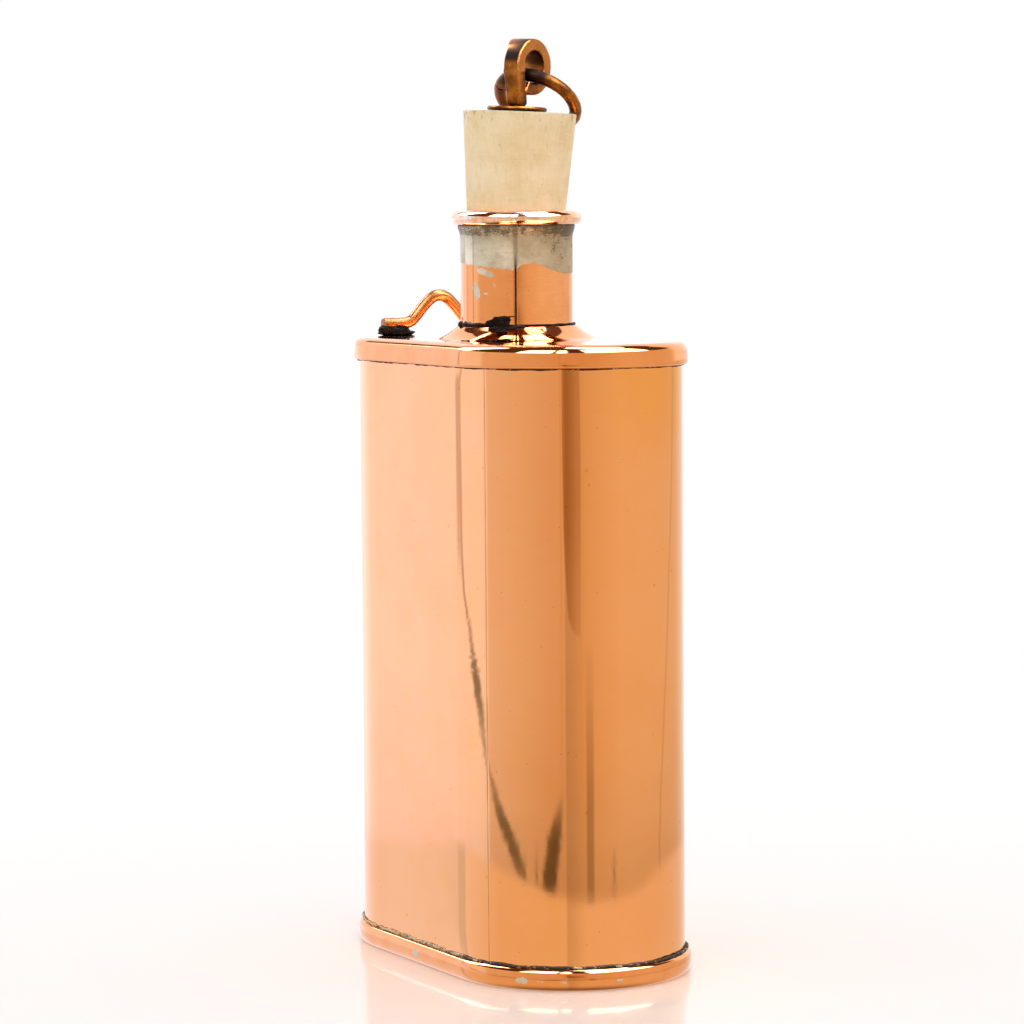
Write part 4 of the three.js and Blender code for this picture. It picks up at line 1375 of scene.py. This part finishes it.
def curve(shader, value, points):
    """A smooth function of a value through a few (value, result) points."""
    low, high = points[0][0], points[-1][0]
    results = [p[1] for p in points]
    floor, top = min(results), max(results)
    node = shader.add("ShaderNodeFloatCurve", Value=shader.between(value, low, high, 0.0, 1.0, "LINEAR"))
    line = node.mapping.curves[0]
    while len(line.points) > 2:
        line.points.remove(line.points[-2])
    for index, (x, y) in enumerate(points):
        place = ((x - low) / (high - low), (y - floor) / (top - floor))
        if index in (0, len(points) - 1):
            line.points[0 if index == 0 else len(line.points) - 1].location = place
        else:
            line.points.new(*place)
    node.mapping.update()
    return Value(shader, node.outputs["Value"]) * (top - floor) + floor


def darken(shader, color, mask, strength, tint=STREAK_TINT):
    """Pulls a colour towards a dark tint where a mask is 1."""
    return shader.mix(mask * strength, color, shader.mix(1.0, color, tint, "MULTIPLY"))


def horizon(shader, psi, rise):
    """What stands round the bottle at the height of its sides: pale to the left and back, warm in front."""
    nearer = curve(shader, rise, ((-10.2, 0.78), (-9.4, 0.84), (-8.4, 0.94), (-6.5, 1.0)))
    nearer = nearer + shader.between(psi, -125, -105, 0.1, 0.0)
    color = shader.mix(1.0, bearing_ramp(shader, psi, SIDES), shader.grey(nearer), "MULTIPLY")
    color = dark_shapes(shader, color, psi, rise)
    step = shader.between(psi, FRONT_DARK_EDGE - 1, FRONT_DARK_EDGE + 1)
    step = step * shader.between(psi, FRONT_DARK_EDGE, -8, 1.0, 0.0)
    step = step * shader.between(rise, -1.5, 0.5, 1.0, 0.0)
    table = darken(shader, bearing_ramp(shader, psi, TABLE), stripe(shader, psi, -151.5, -146, 1.5), 0.25)
    # Painted contact shadow: the table seen steeply below, next to the bottle's foot, darkens to about a
    # third.
    table = shader.mix(1.0, table, shader.grey(shader.between(rise, -75, -30, 0.35, 1.0)), "MULTIPLY")
    edge = table_edge(shader, psi)
    above = shader.between(rise, edge - 0.12, edge + 0.12)
    return darken(shader, shader.mix(above, table, color), step, 0.28)


def hairy(shader, psi, rise):
    """The bearing, moved a little to and fro with height, as fine level scratches move a reflection."""
    hairs = shader.add("ShaderNodeTexNoise", {"noise_dimensions": "1D"}, W=rise, Scale=22.0, Detail=3.0)
    moved = shader.between(hairs.outputs["Fac"], 0.3, 0.7, -3.4, 3.4, "LINEAR")
    return psi + moved * shader.between(rise, -6.4, -5.4, 1.0, 0.06)


def band(shader, psi, rise, middle, half):
    """A streak that is 1 within half a width of its middle, both given at each rise."""
    middle, half = curve(shader, rise, middle), curve(shader, rise, half)
    return stripe(shader, psi, middle - half, middle + half, 1.6)


def front_gap(shader, color, psi, rise):
    """The dark gap in front, which narrows downwards, and a thin pole to its right."""
    left = curve(shader, rise, ((-6.3, -15), (-5.4, FRONT_DARK_EDGE), (0, FRONT_DARK_EDGE)))
    right = curve(shader, rise, ((-6.3, -15.5), (-2.4, -15.5), (-1.4, -27), (1, -27)))
    gap = stripe(shader, psi, left, right, 0.8) * shader.between(rise, -0.5, 1.5, 1.0, 0.0)
    strength = shader.between(psi, FRONT_DARK_EDGE + 2, -17, 0.85, 0.5)
    strength = strength + shader.between(rise, -6.0, -4.4, -0.2, 0.0)
    color = darken(shader, color, gap, strength, GAP_TINT)
    pole = stripe(shader, psi, -10.5, -3.4, 1.4)
    return darken(shader, color, pole, shader.between(rise, -9.0, -6.0, 0.5, 0.0))


def dark_shapes(shader, color, psi, rise):
    """The gaps and stands that show as dark streaks on the body, each a band of bearings at each rise."""
    color = front_gap(shader, color, psi, rise)
    wild = hairy(shader, psi, rise)
    for place, strength in THIN_STREAKS:
        thin = stripe(shader, wild, place - 1.2, place + 1.2, 0.6)
        color = darken(shader, color, thin, shader.between(rise, -9.5, -9.15, strength, 0.0))
    line = band(shader, wild, rise, LONG_STREAK, LONG_STREAK_HALF)
    color = darken(shader, color, line, curve(shader, rise, LONG_STREAK_STRENGTH))
    blot = band(shader, wild, rise, BLOT, BLOT_HALF)
    color = darken(shader, color, blot, shader.between(rise, -9.2, -8.5, 1.0, 0.3))
    return darken(shader, color, band(shader, psi, rise, RIGHT_LINE, RIGHT_LINE_HALF), 0.22)


def table_edge(shader, psi):
    """How far below level the edge of the white table top is seen from the bottle's sides, in degrees."""
    turned = shader.math("COSINE", shader.math("RADIANS", psi + 10.0))
    return -9.63 - turned * 0.43


def studio(shader, psi, rise):
    """Soft boxes overhead with dark gaps between them, a white backdrop behind, and the room in front."""
    behind = shader.math("MAXIMUM", stripe(shader, psi, 95, 400, 8), stripe(shader, psi, -400, -165, 4))
    color = horizon(shader, psi, rise)
    color = shader.mix(behind * shader.between(rise, -1.5, 1.0), color, BACKDROP)
    boxes = 0.0
    for left, right in BOXES:
        boxes = shader.math("MAXIMUM", boxes, stripe(shader, psi, left, right, 2))
    again = shader.between(shader.add("ShaderNodeLightPath").outputs["Glossy Depth"], 1.4, 1.6)
    overhead = shader.mix(boxes, BETWEEN_BOXES, shader.mix(again, SOFT_BOX, SOFT_BOX_TWICE_SEEN))
    color = shader.mix(shader.between(rise, 22, 26), color, overhead)
    low_back = stripe(shader, psi, 100, 400, 3) * shader.between(rise, 44, 46, 1.0, 0.0)
    color = shader.mix(low_back * shader.between(rise, 20, 22), color, BACKDROP)
    color = shader.mix(behind * shader.between(rise, 45, 48), color, DARK_BACK)
    top = shader.mix(stripe(shader, psi, 20, 149, 2), DARK_TOP, SOFT_BOX)
    return shader.mix(shader.between(rise, 60, 62), color, top)


def make_world():
    """White to the camera and to soft materials. Reflections see the studio."""
    world = bpy.data.worlds.new("studio")
    bpy.context.scene.world = world
    world.use_nodes = True
    world.cycles.sampling_method = "NONE"
    shader = Shader(world)
    way = shader.add("ShaderNodeTexCoord").outputs["Generated"]
    way = shader.add("ShaderNodeSeparateXYZ", Vector=way).outputs
    psi = shader.math("DEGREES", shader.math("ARCTAN2", way["Y"], way["X"]))
    rise = shader.math("DEGREES", shader.math("ARCSINE", way["Z"]))
    seen = studio(shader, psi, rise)
    path = shader.add("ShaderNodeLightPath").outputs
    soft = shader.mix(path["Is Camera Ray"], bearing_ramp(shader, psi, SOFT_LIGHT), WHITE)
    color = shader.mix(path["Is Glossy Ray"], soft, seen)
    shader.set(shader.tree.nodes["Background"].inputs["Color"], color)


def floor_material():
    """White, faintly mirroring, and fading into the white backdrop away from the bottle."""
    shader = Shader("white floor")
    place = shader.split()
    away = (place["X"] ** 2.0 + place["Y"] ** 2.0) ** 0.5
    shader.surface(Base_Color=FLOOR_COLOR, Roughness=0.1, IOR=1.24)
    clear = shader.add("ShaderNodeBsdfTransparent").outputs[0]
    mirrored = shader.add("ShaderNodeLightPath").outputs["Is Glossy Ray"]
    hide = shader.math("MAXIMUM", mirrored, shader.between(away, *FLOOR_FADE))
    blend = shader.add("ShaderNodeMixShader")
    for socket, item in zip(blend.inputs, (hide, shader.bsdf.outputs[0], clear)):
        shader.set(socket, item)
    shader.set(shader.tree.nodes["Material Output"].inputs["Surface"], blend.outputs[0])
    return shader.material


def make_floor():
    """A flat square just under the bottle. Reflections do not see it."""
    corners = [(x * FLOOR_HALF, y * FLOOR_HALF, 0) for x, y in ((-1, -1), (1, -1), (1, 1), (-1, 1))]
    mesh = bpy.data.meshes.new("floor")
    mesh.from_pydata(corners, [], [(0, 1, 2, 3)])
    floor = bpy.data.objects.new("floor", mesh)
    bpy.context.scene.collection.objects.link(floor)
    floor.location.z = -FLOOR_DROP
    paint(floor_material(), floor)


def make_camera():
    data = bpy.data.cameras.new("camera")
    data.lens, data.sensor_width = LENS, SENSOR
    camera = bpy.data.objects.new("camera", data)
    bpy.context.scene.collection.objects.link(camera)
    azimuth, pitch = math.radians(CAMERA_AZIMUTH), math.radians(CAMERA_PITCH)
    back = Vector((math.sin(azimuth), -math.cos(azimuth), 0))
    right = Vector((math.cos(azimuth), math.sin(azimuth), 0))
    camera.location = (back * CAMERA_DISTANCE + right * CAMERA_SIDE + Vector((0, 0, CAMERA_HEIGHT))) * MM
    forward = -back * math.cos(pitch) - Vector((0, 0, math.sin(pitch)))
    turned = forward.to_track_quat("-Z", "Y") @ Quaternion((0, 0, 1), math.radians(CAMERA_ROLL))
    camera.rotation_mode = "QUATERNION"
    camera.rotation_quaternion = turned
    bpy.context.scene.camera = camera


make_floor()
make_world()
make_camera()
bpy.context.scene.view_settings.view_transform = "Standard"
